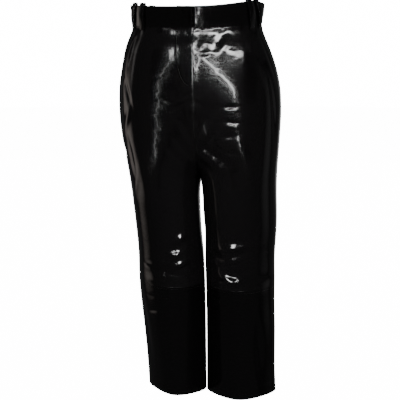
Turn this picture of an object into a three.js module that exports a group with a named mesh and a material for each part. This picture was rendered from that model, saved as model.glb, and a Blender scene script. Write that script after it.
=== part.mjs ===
// Leather trousers with a high waist, a lapped fly, paired belt loops and a seam at each knee.
// Millimetres. +Z is up, -Y is the front and +X is the wearer's left.
// The origin is the middle of the waist, level with the seam under the waistband at the sides.
import * as THREE from 'three';

// Driving dimensions
const LEATHER = 1.6;
const SEAM_GAP = 0.3;
const BEHIND_GAP = 0.6;
const BAND_DEPTH = 44;
const BAND_THICK = 2.6;
const BAND_PROUD = 0.8;
const CROTCH_LEVEL = -345;
const KNEE_LEVEL = -588;
const HEM_LEVEL = -850;
const HEM_TURN_UP = 28;
const RISE_START = -30;
const RISE_POWER = 2.2;
const SIDE_SEAM_TURN = 4;
const FOLD_FADE = 12;
const FOLD_FADE_FROM_BAND = 24;
const FLY_LENGTH = 132;
const FLY_TUCK = 2.2;
const BAND_TUCK = 4.2;
const TUCK_WIDTH = 15;
const UNDERLAP = 34;
const SHIELD_PAST_MIDDLE = 8;
const ZIP_CLOTH = 1;
const ZIP_TAPE_WIDTH = 27;
const ZIP_TEETH_WIDTH = 5;
const ZIP_TEETH_THICK = 1.4;
const ZIP_SLIDER_WIDTH = 8;
const ZIP_SLIDER_TOP = -13;
const ZIP_SLIDER_LENGTH = 10;
const ZIP_PULL_WIDTH = 5;
const ZIP_PULL_LENGTH = 9;
const FLY_TOP = -3;
const SHIELD_PAST_FLY = 6;
const TAPE_BEHIND_EDGE = 1;
const TUCK_FROM_MIDDLE = 2;
const TUCK_FADE = 20;
const HOOK_WIDTH = 13;
const HOOK_HEIGHT = 11;
const HOOK_THICK = 1;
const HOOK_BEHIND_EDGE = 10;
const POCKET_TOP = -16;
const POCKET_BOTTOM = -176;
const POCKET_BAG_BOTTOM = -238;
const POCKET_BAG_THICK = 2;
const POCKET_LIFT = 1.6;
const POCKET_LIFT_WIDTH = 14;
const LOOP_WIDTH = 13;
const LOOP_THICK = 1.8;
const LOOP_STAND_OFF = 3.2;
const LOOP_RISE = 6;
const BACK_LOOP_RISE = 2;
const LOOP_HANG = 7;
const LOOP_TUCK = 16;

const DEGREE = Math.PI / 180;

// Sections of the wearer's right half: the side line, the front and the back.
// Roll lifts the section per millimetre towards +X, pitch per millimetre towards +Y.
const RIGHT_SECTIONS = [
  { level: 56, outer: -147.5, front: -96, back: 96, roll: 0.013, pitch: 0 },
  { level: 22, outer: -146, front: -93, back: 94, roll: 0.013, pitch: 0 },
  { level: 0, outer: -143.5, front: -91, back: 92, roll: 0.012, pitch: 0 },
  { level: -36, outer: -156, front: -97, back: 102, roll: 0.008, pitch: 0 },
  { level: -80, outer: -168, front: -103, back: 115, roll: 0.004, pitch: 0 },
  { level: -130, outer: -176.5, front: -107, back: 126, roll: 0, pitch: 0 },
  { level: -180, outer: -178.5, front: -108, back: 131, roll: 0, pitch: 0 },
  { level: -230, outer: -174.5, front: -107, back: 128, roll: 0, pitch: 0 },
  { level: -285, outer: -164.5, front: -106, back: 119, roll: 0, pitch: 0 },
  { level: -345, outer: -154, front: -104, back: 109, roll: -0.01, pitch: 0 },
  { level: -379, outer: -149.5, front: -102, back: 104, roll: -0.015, pitch: 0 },
  { level: -421, outer: -145, front: -98, back: 100, roll: -0.02, pitch: 0 },
  { level: -464, outer: -141.3, front: -94, back: 96, roll: -0.03, pitch: 0 },
  { level: -520, outer: -137, front: -90, back: 92, roll: -0.04, pitch: 0 },
  { level: -575, outer: -136.3, front: -86, back: 89, roll: -0.05, pitch: 0 },
  { level: -620, outer: -134, front: -84, back: 87, roll: -0.06, pitch: 0 },
  { level: -700, outer: -126, front: -82, back: 84, roll: -0.07, pitch: -0.01 },
  { level: -780, outer: -119, front: -80, back: 82, roll: -0.08, pitch: -0.02 },
  { level: -850, outer: -114.6, front: -79, back: 81, roll: -0.09, pitch: -0.02 },
];

// Sections of the wearer's left half, with the same columns.
const LEFT_SECTIONS = [
  { level: 56, outer: 149, front: -96, back: 96, roll: 0.013, pitch: 0 },
  { level: 22, outer: 147, front: -93, back: 94, roll: 0.013, pitch: 0 },
  { level: 0, outer: 144, front: -91, back: 92, roll: 0.012, pitch: 0 },
  { level: -36, outer: 154, front: -97, back: 102, roll: 0.008, pitch: 0 },
  { level: -80, outer: 170.5, front: -103, back: 115, roll: 0.004, pitch: 0 },
  { level: -130, outer: 183.5, front: -107, back: 126, roll: 0, pitch: 0 },
  { level: -180, outer: 189, front: -108, back: 131, roll: 0, pitch: 0 },
  { level: -230, outer: 188, front: -107, back: 128, roll: 0, pitch: 0 },
  { level: -285, outer: 185, front: -106, back: 119, roll: 0, pitch: 0 },
  { level: -345, outer: 182, front: -104, back: 109, roll: 0, pitch: 0 },
  { level: -379, outer: 182, front: -102, back: 104, roll: 0, pitch: 0 },
  { level: -421, outer: 183, front: -98, back: 100, roll: 0, pitch: 0 },
  { level: -464, outer: 182.5, front: -94, back: 96, roll: 0, pitch: 0 },
  { level: -520, outer: 179.5, front: -90, back: 90, roll: 0, pitch: 0 },
  { level: -575, outer: 180, front: -85, back: 84, roll: 0, pitch: 0.02 },
  { level: -620, outer: 180, front: -81, back: 80, roll: 0, pitch: 0.03 },
  { level: -700, outer: 182, front: -77, back: 76, roll: 0.005, pitch: 0.03 },
  { level: -780, outer: 182.5, front: -74, back: 74, roll: 0.01, pitch: 0.03 },
  { level: -850, outer: 185, front: -72, back: 73, roll: 0.015, pitch: 0.03 },
];

// The middle of the body above the crotch, and the inside of each leg below it.
const MIDDLE_LINE = [
  { level: 56, across: -1 },
  { level: 0, across: -1 },
  { level: -80, across: 0 },
  { level: -180, across: 2 },
  { level: -285, across: 6 },
  { level: -345, across: 8.5 },
];
const RIGHT_INNER_LINE = [
  { level: -345, across: 8.35 },
  { level: -379, across: 6 },
  { level: -421, across: 7 },
  { level: -464, across: 9.5 },
  { level: -520, across: 14.5 },
  { level: -575, across: 17.5 },
  { level: -620, across: 19 },
  { level: -700, across: 20.3 },
  { level: -780, across: 21.2 },
  { level: -850, across: 21.4 },
];
const LEFT_INNER_LINE = [
  { level: -345, across: 8.65 },
  { level: -379, across: 12.5 },
  { level: -421, across: 14.5 },
  { level: -464, across: 18 },
  { level: -520, across: 18.7 },
  { level: -575, across: 19.7 },
  { level: -620, across: 21 },
  { level: -700, across: 22.2 },
  { level: -780, across: 22.6 },
  { level: -850, across: 22.8 },
];

// How far the section dips below its sides, at the front and the back, and how far each half's
// front swells up between its side and the middle.
const DIPS = [
  { level: 56, front: 3.2, back: 6, right: 0.6, left: 8 },
  { level: 44, front: 3.2, back: 6, right: 0.6, left: 7.4 },
  { level: 0, front: 5.5, back: 5.5, right: 0, left: 0.5 },
  { level: -60, front: 3, back: 3, right: 0, left: 0 },
  { level: -150, front: 0, back: 0, right: 0, left: 0 },
];

// How square the section is: an ellipse at 0, and drawn to a soft crease front and back below it.
const SQUARENESS = [
  { level: 56, square: 0.045 },
  { level: -230, square: 0.04 },
  { level: -345, square: 0.02 },
  { level: -464, square: 0 },
  { level: -620, square: -0.025 },
  { level: -760, square: -0.05 },
  { level: -850, square: -0.055 },
];

// Folds: turn is degrees from the side line (-90 front middle, -180 or 180 inner line, + back).
// Lean tips the fold from upright, long and wide are half sizes, deep is out when positive.
const RIGHT_FOLDS = [
  { turn: -34, level: -55, lean: 0, long: 55, wide: 11.5, deep: 3.2 },
  { turn: -27, level: -60, lean: 0, long: 50, wide: 11.5, deep: -2.6 },
  { turn: -14, level: -150, lean: 6, long: 58, wide: 11.5, deep: -3.4 },
  { turn: -26, level: -170, lean: 9, long: 60, wide: 11.5, deep: -2.6 },
  { turn: -8, level: -272, lean: 62, long: 34, wide: 11.5, deep: -3.2 },
  { turn: -84, level: -196, lean: 66, long: 40, wide: 11.5, deep: -2.4 },
  { turn: -118, level: -268, lean: 38, long: 40, wide: 11.5, deep: -3.4 },
  { turn: -140, level: -318, lean: 52, long: 34, wide: 11.5, deep: -3.4 },
  { turn: -70, level: -350, lean: 4, long: 60, wide: 15, deep: 2.4 },
  { turn: -96, level: -500, lean: -62, long: 32, wide: 11.5, deep: -2.8 },
  { turn: -84, level: -545, lean: -70, long: 36, wide: 11.5, deep: -3.2 },
  { turn: -132, level: -560, lean: 68, long: 30, wide: 11.5, deep: -2.6 },
  { turn: -80, level: -722, lean: 0, long: 62, wide: 11.5, deep: -3.4 },
  { turn: -28, level: -700, lean: 3, long: 80, wide: 13, deep: -2.6 },
  { turn: 62, level: -262, lean: -62, long: 46, wide: 11.5, deep: -3.6 },
  { turn: 84, level: -300, lean: -68, long: 48, wide: 11.5, deep: -4 },
  { turn: 118, level: -330, lean: -62, long: 40, wide: 11.5, deep: -3.6 },
  { turn: 96, level: -540, lean: 72, long: 44, wide: 11.5, deep: -3.6 },
  { turn: 70, level: -575, lean: -74, long: 40, wide: 11.5, deep: -3.2 },
  { turn: 100, level: -720, lean: 4, long: 70, wide: 13, deep: -3 },
];

const LEFT_FOLDS = [
  { turn: -44, level: -55, lean: 0, long: 55, wide: 11.5, deep: 3.2 },
  { turn: -37, level: -60, lean: 0, long: 50, wide: 11.5, deep: -2.6 },
  { turn: -18, level: -70, lean: -8, long: 46, wide: 11.5, deep: -2.4 },
  { turn: -28, level: -185, lean: -5, long: 66, wide: 12, deep: -2.6 },
  { turn: -110, level: -262, lean: -30, long: 46, wide: 11.5, deep: -4 },
  { turn: -132, level: -300, lean: -44, long: 38, wide: 11.5, deep: -3.6 },
  { turn: -72, level: -330, lean: -3, long: 70, wide: 15, deep: 2.4 },
  { turn: -86, level: -497, lean: 70, long: 30, wide: 11.5, deep: -2.8 },
  { turn: -122, level: -518, lean: -58, long: 28, wide: 11.5, deep: -3 },
  { turn: -84, level: -560, lean: -68, long: 38, wide: 11.5, deep: -3.6 },
  { turn: -45, level: -575, lean: 74, long: 34, wide: 11.5, deep: -2.6 },
  { turn: -112, level: -710, lean: 2, long: 80, wide: 13, deep: -2.8 },
  { turn: -50, level: -730, lean: -4, long: 70, wide: 13, deep: -2.4 },
  { turn: 62, level: -258, lean: 62, long: 46, wide: 11.5, deep: -3.4 },
  { turn: 86, level: -306, lean: 68, long: 48, wide: 11.5, deep: -4 },
  { turn: 120, level: -334, lean: 60, long: 40, wide: 11.5, deep: -3.6 },
  { turn: 92, level: -552, lean: -72, long: 44, wide: 11.5, deep: -3.6 },
  { turn: 64, level: -520, lean: 74, long: 36, wide: 11.5, deep: -2.8 },
  { turn: 90, level: -735, lean: -3, long: 70, wide: 13, deep: -3 },
];

// A natural cubic spline through one column of a table, taken at any level.
function spline(table, column) {
  const rows = [...table].sort((a, b) => a.level - b.level);
  const x = rows.map((row) => row.level);
  const y = rows.map((row) => row[column]);
  const last = x.length - 1;
  const bend = new Array(last + 1).fill(0);
  const work = new Array(last + 1).fill(0);
  for (let i = 1; i < last; i += 1) {
    const share = (x[i] - x[i - 1]) / (x[i + 1] - x[i - 1]);
    const pivot = share * bend[i - 1] + 2;
    bend[i] = (share - 1) / pivot;
    const kink = (y[i + 1] - y[i]) / (x[i + 1] - x[i]) - (y[i] - y[i - 1]) / (x[i] - x[i - 1]);
    work[i] = ((6 * kink) / (x[i + 1] - x[i - 1]) - share * work[i - 1]) / pivot;
  }
  bend[last] = 0;
  for (let i = last - 1; i >= 0; i -= 1) {
    bend[i] = bend[i] * bend[i + 1] + work[i];
  }
  return (level) => {
    const at = Math.min(Math.max(level, x[0]), x[last]);
    let i = 0;
    while (i < last - 1 && x[i + 1] < at) {
      i += 1;
    }
    const step = x[i + 1] - x[i];
    const a = (x[i + 1] - at) / step;
    const b = (at - x[i]) / step;
    const curve = ((a ** 3 - a) * bend[i] + (b ** 3 - b) * bend[i + 1]) * (step ** 2 / 6);
    return a * y[i] + b * y[i + 1] + curve;
  };
}

function smoothStep(from, to, value) {
  const t = Math.min(Math.max((value - from) / (to - from), 0), 1);
  return t * t * (3 - 2 * t);
}

const squareness = spline(SQUARENESS, 'square');
const frontDip = spline(DIPS, 'front');
const backDip = spline(DIPS, 'back');

// The unit ring.
function ringAcross(angle, level) {
  const square = squareness(level);
  return (Math.cos(angle) - square * Math.cos(3 * angle)) / (1 - square);
}

function ringDeep(angle, level) {
  const square = squareness(level);
  return (Math.sin(angle) + square * Math.sin(3 * angle)) / (1 - square);
}

// The angle where the unit ring meets the middle of the body, found by halving.
function angleAt(across, level) {
  let low = 0;
  let high = Math.PI;
  for (let i = 0; i < 50; i += 1) {
    const middle = (low + high) / 2;
    if (ringAcross(middle, level) > across) {
      low = middle;
    } else {
      high = middle;
    }
  }
  return (low + high) / 2;
}

// One half of the garment: its splines, and the sign of its side.
function makeHalf(sections, innerLine, folds, sign) {
  const half = { folds, sign };
  for (const column of ['outer', 'front', 'back', 'roll', 'pitch']) {
    half[column] = spline(sections, column);
  }
  const middle = spline(MIDDLE_LINE, 'across');
  const leg = spline(innerLine, 'across');
  half.inner = (level) => (level > CROTCH_LEVEL ? middle(level) : leg(level));
  half.swell = spline(DIPS, sign < 0 ? 'right' : 'left');
  return half;
}

const RIGHT = makeHalf(RIGHT_SECTIONS, RIGHT_INNER_LINE, RIGHT_FOLDS, -1);
const LEFT = makeHalf(LEFT_SECTIONS, LEFT_INNER_LINE, LEFT_FOLDS, 1);

// How far the ring has parted from the middle of the body: 0 at the waist, 1 from the crotch down.
function parting(level) {
  const share = Math.min(Math.max((RISE_START - level) / (RISE_START - CROTCH_LEVEL), 0), 1);
  return Math.sin((Math.PI / 2) * share ** RISE_POWER) ** 2;
}

// The angle, either side of the side line, where the half ends at the middle or the inner leg.
function endAngle(level) {
  return level <= CROTCH_LEVEL ? Math.PI : angleAt(-parting(level), level);
}

// Folds die away towards the middle seam, the inner leg and the band, where the pieces meet.
function foldHeight(half, angle, level, radius) {
  let height = 0;
  const fromEnd = smoothStep(0, FOLD_FADE * DEGREE, endAngle(level) - Math.abs(angle));
  const fromBand = 1 - smoothStep(-FOLD_FADE_FROM_BAND, -2, level);
  for (const fold of half.folds) {
    const across = (angle - fold.turn * DEGREE) * radius;
    const up = level - fold.level;
    const lean = fold.lean * DEGREE;
    const along = up * Math.cos(lean) + across * Math.sin(lean);
    const beside = across * Math.cos(lean) - up * Math.sin(lean);
    height += fold.deep * Math.exp(-((along / fold.long) ** 2) - (beside / fold.wide) ** 2);
  }
  return height * fromEnd * fromBand;
}

// How far the dips and the swell move a point up, by its depth on the unit ring.
function edgeLift(half, depth, level) {
  if (depth > 0) {
    return -backDip(level) * depth ** 2;
  }
  const swell = 4 * depth ** 2 * (1 - depth ** 2);
  return half.swell(level) * Math.max(swell, 0) - frontDip(level) * depth ** 2;
}

// A point of the bare section, before folds.
function sectionPoint(half, angle, level) {
  const part = parting(level);
  const outer = half.outer(level);
  const inner = half.inner(level);
  const wide = (outer - inner) / (1 + part);
  const centre = outer - wide;
  const middle = (half.front(level) + half.back(level)) / 2;
  const deep = (half.back(level) - half.front(level)) / 2;
  const x = centre + wide * ringAcross(angle, level);
  const y = middle + deep * ringDeep(angle, level);
  const tilt = half.roll(level) * (x - inner) + half.pitch(level) * (y - middle);
  return new THREE.Vector3(x, y, level + tilt + edgeLift(half, ringDeep(angle, level), level));
}

// The outward direction of a surface given as a function of angle and level.
function outward(surface, half, angle, level) {
  const turnStep = 0.004;
  const levelStep = 0.6;
  const across = surface(angle + turnStep, level).sub(surface(angle - turnStep, level));
  const up = surface(angle, level + levelStep).sub(surface(angle, level - levelStep));
  const normal = new THREE.Vector3().crossVectors(across, up).normalize();
  return normal.multiplyScalar(half.sign);
}

// The leather's outer surface, with its folds.
function clothPoint(half, angle, level) {
  const plain = (a, l) => sectionPoint(half, a, l);
  const radius = Math.abs(half.outer(level) - half.inner(level)) / (1 + parting(level));
  const height = foldHeight(half, angle, level, radius);
  const point = plain(angle, level);
  return point.addScaledVector(outward(plain, half, angle, level), height);
}

// How much of the tuck a point has, beside the middle line, where the left passes under the lap.
function tuckShare(x, level) {
  return 1 - smoothStep(TUCK_FROM_MIDDLE, TUCK_FROM_MIDDLE + TUCK_WIDTH, x - LEFT.inner(level));
}

// The left front's tuck ends a little below the fly.
function flyTuck(x, level) {
  const along = smoothStep(-FLY_LENGTH - TUCK_FADE, -FLY_LENGTH, level);
  return FLY_TUCK * tuckShare(x, level) * along;
}

// The left band passes deeper, with room for the hook between the layers.
function bandPoint(half, angle, level) {
  const point = clothPoint(half, angle, level);
  if (half === RIGHT || angle > 0) {
    return point;
  }
  const plain = (a, l) => sectionPoint(half, a, l);
  const tuck = BAND_TUCK * tuckShare(point.x, level);
  return point.addScaledVector(outward(plain, half, angle, level), -tuck);
}

// The outward lift of the front's edge at the pocket mouth.
function pocketLift(half, angle, level) {
  const reach = Math.abs(half.outer(level) - half.inner(level));
  const beside = smoothStep(-POCKET_LIFT_WIDTH / reach, 0, angle - SIDE_SEAM_TURN * DEGREE);
  const middle = (POCKET_TOP + POCKET_BOTTOM) / 2;
  const along = Math.max(1 - ((level - middle) / ((POCKET_TOP - POCKET_BOTTOM) / 2)) ** 2, 0);
  return POCKET_LIFT * beside * along;
}

function frontPoint(half, angle, level) {
  const point = clothPoint(half, angle, level);
  const plain = (a, l) => sectionPoint(half, a, l);
  let lift = pocketLift(half, angle, level);
  if (half === LEFT) {
    lift -= flyTuck(point.x, level);
  }
  return point.addScaledVector(outward(plain, half, angle, level), lift);
}

// A wall between two grids of points, closed round its rim, as one body.
function wallGeometry(outerRows, innerRows, sign) {
  const rows = outerRows.length;
  const columns = outerRows[0].length;
  const positions = [];
  for (const grid of [outerRows, innerRows]) {
    for (const row of grid) {
      for (const point of row) {
        positions.push(point.x, point.y, point.z);
      }
    }
  }
  const inside = rows * columns;
  const indices = [];
  const face = (a, b, c, d) => {
    if (sign > 0) {
      indices.push(a, b, c, a, c, d);
    } else {
      indices.push(a, c, b, a, d, c);
    }
  };
  for (let r = 0; r < rows - 1; r += 1) {
    for (let c = 0; c < columns - 1; c += 1) {
      const k = r * columns + c;
      face(k, k + columns, k + columns + 1, k + 1);
      face(inside + k, inside + k + 1, inside + k + columns + 1, inside + k + columns);
    }
  }
  const rim = [];
  for (let c = 0; c < columns - 1; c += 1) {
    rim.push(c);
  }
  for (let r = 0; r < rows - 1; r += 1) {
    rim.push(r * columns + columns - 1);
  }
  for (let c = columns - 1; c > 0; c -= 1) {
    rim.push((rows - 1) * columns + c);
  }
  for (let r = rows - 1; r > 0; r -= 1) {
    rim.push(r * columns);
  }
  rim.forEach((a, i) => {
    const b = rim[(i + 1) % rim.length];
    face(a, b, inside + b, inside + a);
  });
  const geometry = new THREE.BufferGeometry();
  geometry.setAttribute('position', new THREE.Float32BufferAttribute(positions, 3));
  geometry.setIndex(indices);
  geometry.computeVertexNormals();
  return geometry;
}

// A wall that follows a half's surface. Span gives its two end angles at a level, depths the
// offsets of its outer and inner faces, and a crowd over 1 draws its columns to the first end.
function wallOn(half, surface, levels, columns, span, depths, crowd = 1, firstColumn = 0) {
  const grids = [[], []];
  for (const level of levels) {
    const [from, to] = span(level);
    const rows = [[], []];
    for (let c = firstColumn; c <= columns; c += 1) {
      const angle = from + (to - from) * (c / columns) ** crowd;
      const point = surface(half, angle, level);
      const normal = outward((a, l) => surface(half, a, l), half, angle, level);
      depths(level).forEach((depth, side) => {
        rows[side].push(point.clone().addScaledVector(normal, depth));
      });
    }
    grids[0].push(rows[0]);
    grids[1].push(rows[1]);
  }
  return wallGeometry(grids[0], grids[1], half.sign);
}

// Levels from one to another, closer together towards the second when ease is over 1.
function levelsTo(from, to, count, ease) {
  const list = [];
  for (let i = 0; i <= count; i += 1) {
    list.push(from + (to - from) * (1 - (1 - i / count) ** ease));
  }
  return list;
}

const WAIST_ROWS = 17;
const THIGH_ROWS = 9;
const SHIN_ROWS = 8;
const UPPER_COLUMNS = 15;
const LOWER_COLUMNS = 12;
const EASE = 1.7;
const BAND_ROWS = 4;
const BAND_COLUMNS = 24;
const MIDDLE_CROWD = 1.2;
const SMALL_ROWS = 9;
const SMALL_COLUMNS = 4;
const POCKET_BAG_COLUMN = 7;

const SIDE_SEAM = SIDE_SEAM_TURN * DEGREE;

function upperLevels() {
  const down = levelsTo(-SEAM_GAP / 2, CROTCH_LEVEL, WAIST_ROWS, EASE);
  const up = levelsTo(KNEE_LEVEL + SEAM_GAP / 2, CROTCH_LEVEL, THIGH_ROWS, EASE).reverse();
  return [down[0], -LOOP_HANG - 4, ...down.slice(1), ...up.slice(1)];
}

function lowerLevels() {
  const turn = [HEM_LEVEL + HEM_TURN_UP, HEM_LEVEL + HEM_TURN_UP - 2, HEM_LEVEL];
  return [...levelsTo(KNEE_LEVEL - SEAM_GAP / 2, turn[0], SHIN_ROWS, 1), turn[1], turn[2]];
}

// Half a seam gap as an angle on the section at a level.
function gapAngle(half, angle, level) {
  const step = 0.01;
  const a = sectionPoint(half, angle - step, level);
  const b = sectionPoint(half, angle + step, level);
  return (SEAM_GAP / 2) * ((2 * step) / a.distanceTo(b));
}

// The half gap at the middle seam, where it is measured across the middle plane.
function endGap(half, level) {
  const end = endAngle(level);
  if (level <= CROTCH_LEVEL) {
    return gapAngle(half, end, level);
  }
  const reach = Math.abs(half.outer(level) - half.inner(level)) / (1 + parting(level));
  const wanted = -parting(level) + SEAM_GAP / 2 / reach;
  return Math.max(end - angleAt(wanted, level), gapAngle(half, end, level));
}

function frontSpan(half) {
  return (level) => [
    -endAngle(level) + endGap(half, level),
    SIDE_SEAM - gapAngle(half, SIDE_SEAM, level),
  ];
}

function backSpan(half) {
  return (level) => [
    SIDE_SEAM + gapAngle(half, SIDE_SEAM, level),
    endAngle(level) - endGap(half, level),
  ];
}

const leatherDepths = () => [0, -LEATHER];

// The leg's lower pieces are two layers thick where the hem is turned up.
function hemDepths(level) {
  return [0, level < HEM_LEVEL + HEM_TURN_UP - 1 ? -2 * LEATHER : -LEATHER];
}

const patent = new THREE.MeshStandardMaterial({ color: 0x0a090a, roughness: 0.16, metalness: 0 });
const patentBand = new THREE.MeshStandardMaterial({ color: 0x0c0b0c, roughness: 0.16, metalness: 0 });
const pocketing = new THREE.MeshStandardMaterial({ color: 0x151416, roughness: 0.85, metalness: 0 });
const zipCloth = new THREE.MeshStandardMaterial({ color: 0x101012, roughness: 0.8, metalness: 0 });
const metal = new THREE.MeshStandardMaterial({ color: 0x8d8d90, roughness: 0.3, metalness: 1 });

const group = new THREE.Group();

function addMesh(name, geometry, material) {
  const mesh = new THREE.Mesh(geometry, material.clone());
  mesh.name = name;
  group.add(mesh);
}

function addLegPieces(half, side) {
  const upper = [upperLevels(), UPPER_COLUMNS];
  const lower = [lowerLevels(), LOWER_COLUMNS];
  const front = frontSpan(half);
  const back = backSpan(half);
  const frontUpper = wallOn(half, frontPoint, ...upper, front, leatherDepths, MIDDLE_CROWD);
  const backUpper = wallOn(half, clothPoint, ...upper, back, leatherDepths);
  const frontLower = wallOn(half, frontPoint, ...lower, front, hemDepths);
  const backLower = wallOn(half, clothPoint, ...lower, back, hemDepths);
  addMesh(`front_${side}_upper`, frontUpper, patent);
  addMesh(`back_${side}_upper`, backUpper, patent);
  addMesh(`front_${side}_lower`, frontLower, patent);
  addMesh(`back_${side}_lower`, backLower, patent);
}

addLegPieces(RIGHT, 'right');
addLegPieces(LEFT, 'left');

// The angle on the front of a half where the bare section has a given place across.
function frontAngle(half, x, level) {
  const wide = (half.outer(level) - half.inner(level)) / (1 + parting(level));
  const centre = half.outer(level) - wide;
  return -angleAt((x - centre) / wide, level);
}

const bandDepths = () => [BAND_PROUD, BAND_PROUD - BAND_THICK];

// The right half of the band ends at the middle in front, over the underlap of the left half.
function addBand() {
  const levels = levelsTo(BAND_DEPTH, SEAM_GAP / 2, BAND_ROWS, 1);
  const rightSpan = (level) => [
    -endAngle(level) + endGap(RIGHT, level),
    endAngle(level) - endGap(RIGHT, level),
  ];
  const leftSpan = (level) => [
    frontAngle(LEFT, LEFT.inner(level) - UNDERLAP, level),
    endAngle(level) - endGap(LEFT, level),
  ];
  const right = wallOn(RIGHT, bandPoint, levels, BAND_COLUMNS, rightSpan, bandDepths);
  const left = wallOn(LEFT, bandPoint, levels, BAND_COLUMNS, leftSpan, bandDepths, MIDDLE_CROWD);
  addMesh('waistband_right', right, patentBand);
  addMesh('waistband_left', left, patentBand);
}

addBand();

// A strip behind the right front, between two places across from the middle line.
function addBehindFly(name, place, levels, depths, material) {
  const span = (level) => [
    frontAngle(RIGHT, RIGHT.inner(level) + place[0], level),
    frontAngle(RIGHT, RIGHT.inner(level) + place[1], level),
  ];
  addMesh(name, wallOn(RIGHT, clothPoint, levels, SMALL_COLUMNS, span, () => depths), material);
}

function addFly() {
  const tapeOuter = -LEATHER - BEHIND_GAP;
  const tapeInner = tapeOuter - ZIP_CLOTH;
  const teethOuter = tapeInner - SEAM_GAP;
  const teethInner = teethOuter - ZIP_TEETH_THICK;
  const shieldOuter = teethInner - 2 * SEAM_GAP;
  const tapePlace = [-TAPE_BEHIND_EDGE, -TAPE_BEHIND_EDGE - ZIP_TAPE_WIDTH];
  const zipMiddle = (tapePlace[0] + tapePlace[1]) / 2;
  const sliderEnd = ZIP_SLIDER_TOP - ZIP_SLIDER_LENGTH;
  const across = (width) => [zipMiddle + width / 2, zipMiddle - width / 2];
  const down = (from, to, rows) => levelsTo(from, to, rows, 1);
  const teethDepths = [teethOuter, teethInner];
  const tapeLevels = down(FLY_TOP, -FLY_LENGTH, SMALL_ROWS);
  addBehindFly('zip_tapes', tapePlace, tapeLevels, [tapeOuter, tapeInner], zipCloth);
  const teethLevels = down(sliderEnd - SEAM_GAP, -FLY_LENGTH, SMALL_ROWS);
  addBehindFly('zip_teeth', across(ZIP_TEETH_WIDTH), teethLevels, teethDepths, metal);
  const sliderLevels = down(ZIP_SLIDER_TOP, sliderEnd, 1);
  addBehindFly('zip_slider', across(ZIP_SLIDER_WIDTH), sliderLevels, teethDepths, metal);
  const pullLevels = down(ZIP_SLIDER_TOP + SEAM_GAP + ZIP_PULL_LENGTH, ZIP_SLIDER_TOP + SEAM_GAP, 1);
  addBehindFly('zip_pull', across(ZIP_PULL_WIDTH), pullLevels, teethDepths, metal);
  const shieldPlace = [SHIELD_PAST_MIDDLE, -UNDERLAP];
  const shieldLevels = down(FLY_TOP, -FLY_LENGTH - SHIELD_PAST_FLY, SMALL_ROWS);
  addBehindFly('fly_shield', shieldPlace, shieldLevels, [shieldOuter, shieldOuter - LEATHER], patent);
  const hookOuter = BAND_PROUD - BAND_THICK - SEAM_GAP;
  const hookLevels = down((BAND_DEPTH + HOOK_HEIGHT) / 2, (BAND_DEPTH - HOOK_HEIGHT) / 2, 1);
  const hookPlace = [-HOOK_BEHIND_EDGE, -HOOK_BEHIND_EDGE - HOOK_WIDTH];
  addBehindFly('waist_hook', hookPlace, hookLevels, [hookOuter, hookOuter - HOOK_THICK], metal);
}

addFly();

// The two layers of a pocket bag lie together behind the front, from the panel's own rows and
// columns, out to the side seam.
function addPocketBag(half, side) {
  const outer = -LEATHER - SEAM_GAP;
  const depths = () => [outer, outer - POCKET_BAG_THICK];
  const levels = upperLevels().filter((level) => level < POCKET_TOP && level > POCKET_BAG_BOTTOM);
  const panel = [half, frontPoint, levels, UPPER_COLUMNS, frontSpan(half), depths, MIDDLE_CROWD];
  addMesh(`pocket_bag_${side}`, wallOn(...panel, POCKET_BAG_COLUMN), pocketing);
}

addPocketBag(RIGHT, 'right');
addPocketBag(LEFT, 'left');

// Belt loops: the turn of each at the top and at the waist seam, on the half that it lies on,
// and how far it rises over the band.
const LOOPS = [
  { name: 'loop_front_right_inner', half: RIGHT, top: -47.5, low: -45, rise: LOOP_RISE },
  { name: 'loop_front_right_outer', half: RIGHT, top: -34, low: -25, rise: LOOP_RISE },
  { name: 'loop_front_left_inner', half: LEFT, top: -43, low: -36, rise: LOOP_RISE },
  { name: 'loop_front_left_outer', half: LEFT, top: -32, low: -17.5, rise: LOOP_RISE },
  { name: 'loop_back_right', half: RIGHT, top: 46, low: 44, rise: BACK_LOOP_RISE },
  { name: 'loop_back_left', half: LEFT, top: 46, low: 44, rise: BACK_LOOP_RISE },
  { name: 'loop_back_middle', half: RIGHT, top: 90, low: 90, rise: BACK_LOOP_RISE },
];

// A loop's line: sewn below the waist seam, up over the band's edge and down behind it.
function loopLine(rise) {
  const lies = LOOP_THICK / 2 + SEAM_GAP;
  const front = BAND_PROUD + lies;
  const behind = BAND_PROUD - BAND_THICK - lies - SEAM_GAP;
  return [
    { level: -LOOP_HANG, off: lies + SEAM_GAP },
    { level: -LOOP_HANG / 3, off: front + 2 * SEAM_GAP },
    { level: BAND_DEPTH * 0.2, off: front + LOOP_STAND_OFF * 0.75 },
    { level: BAND_DEPTH * 0.5, off: front + LOOP_STAND_OFF },
    { level: BAND_DEPTH * 0.82, off: front + LOOP_STAND_OFF * 0.7 },
    { level: BAND_DEPTH + rise * 0.4, off: front + LOOP_STAND_OFF * 0.15 },
    { level: BAND_DEPTH + rise * 0.85, off: (front * 3 + behind) / 4 },
    { level: BAND_DEPTH + rise * 0.85, off: (front + behind * 3) / 4 },
    { level: BAND_DEPTH + rise * 0.2, off: behind },
    { level: BAND_DEPTH - LOOP_TUCK, off: behind },
  ];
}

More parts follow.
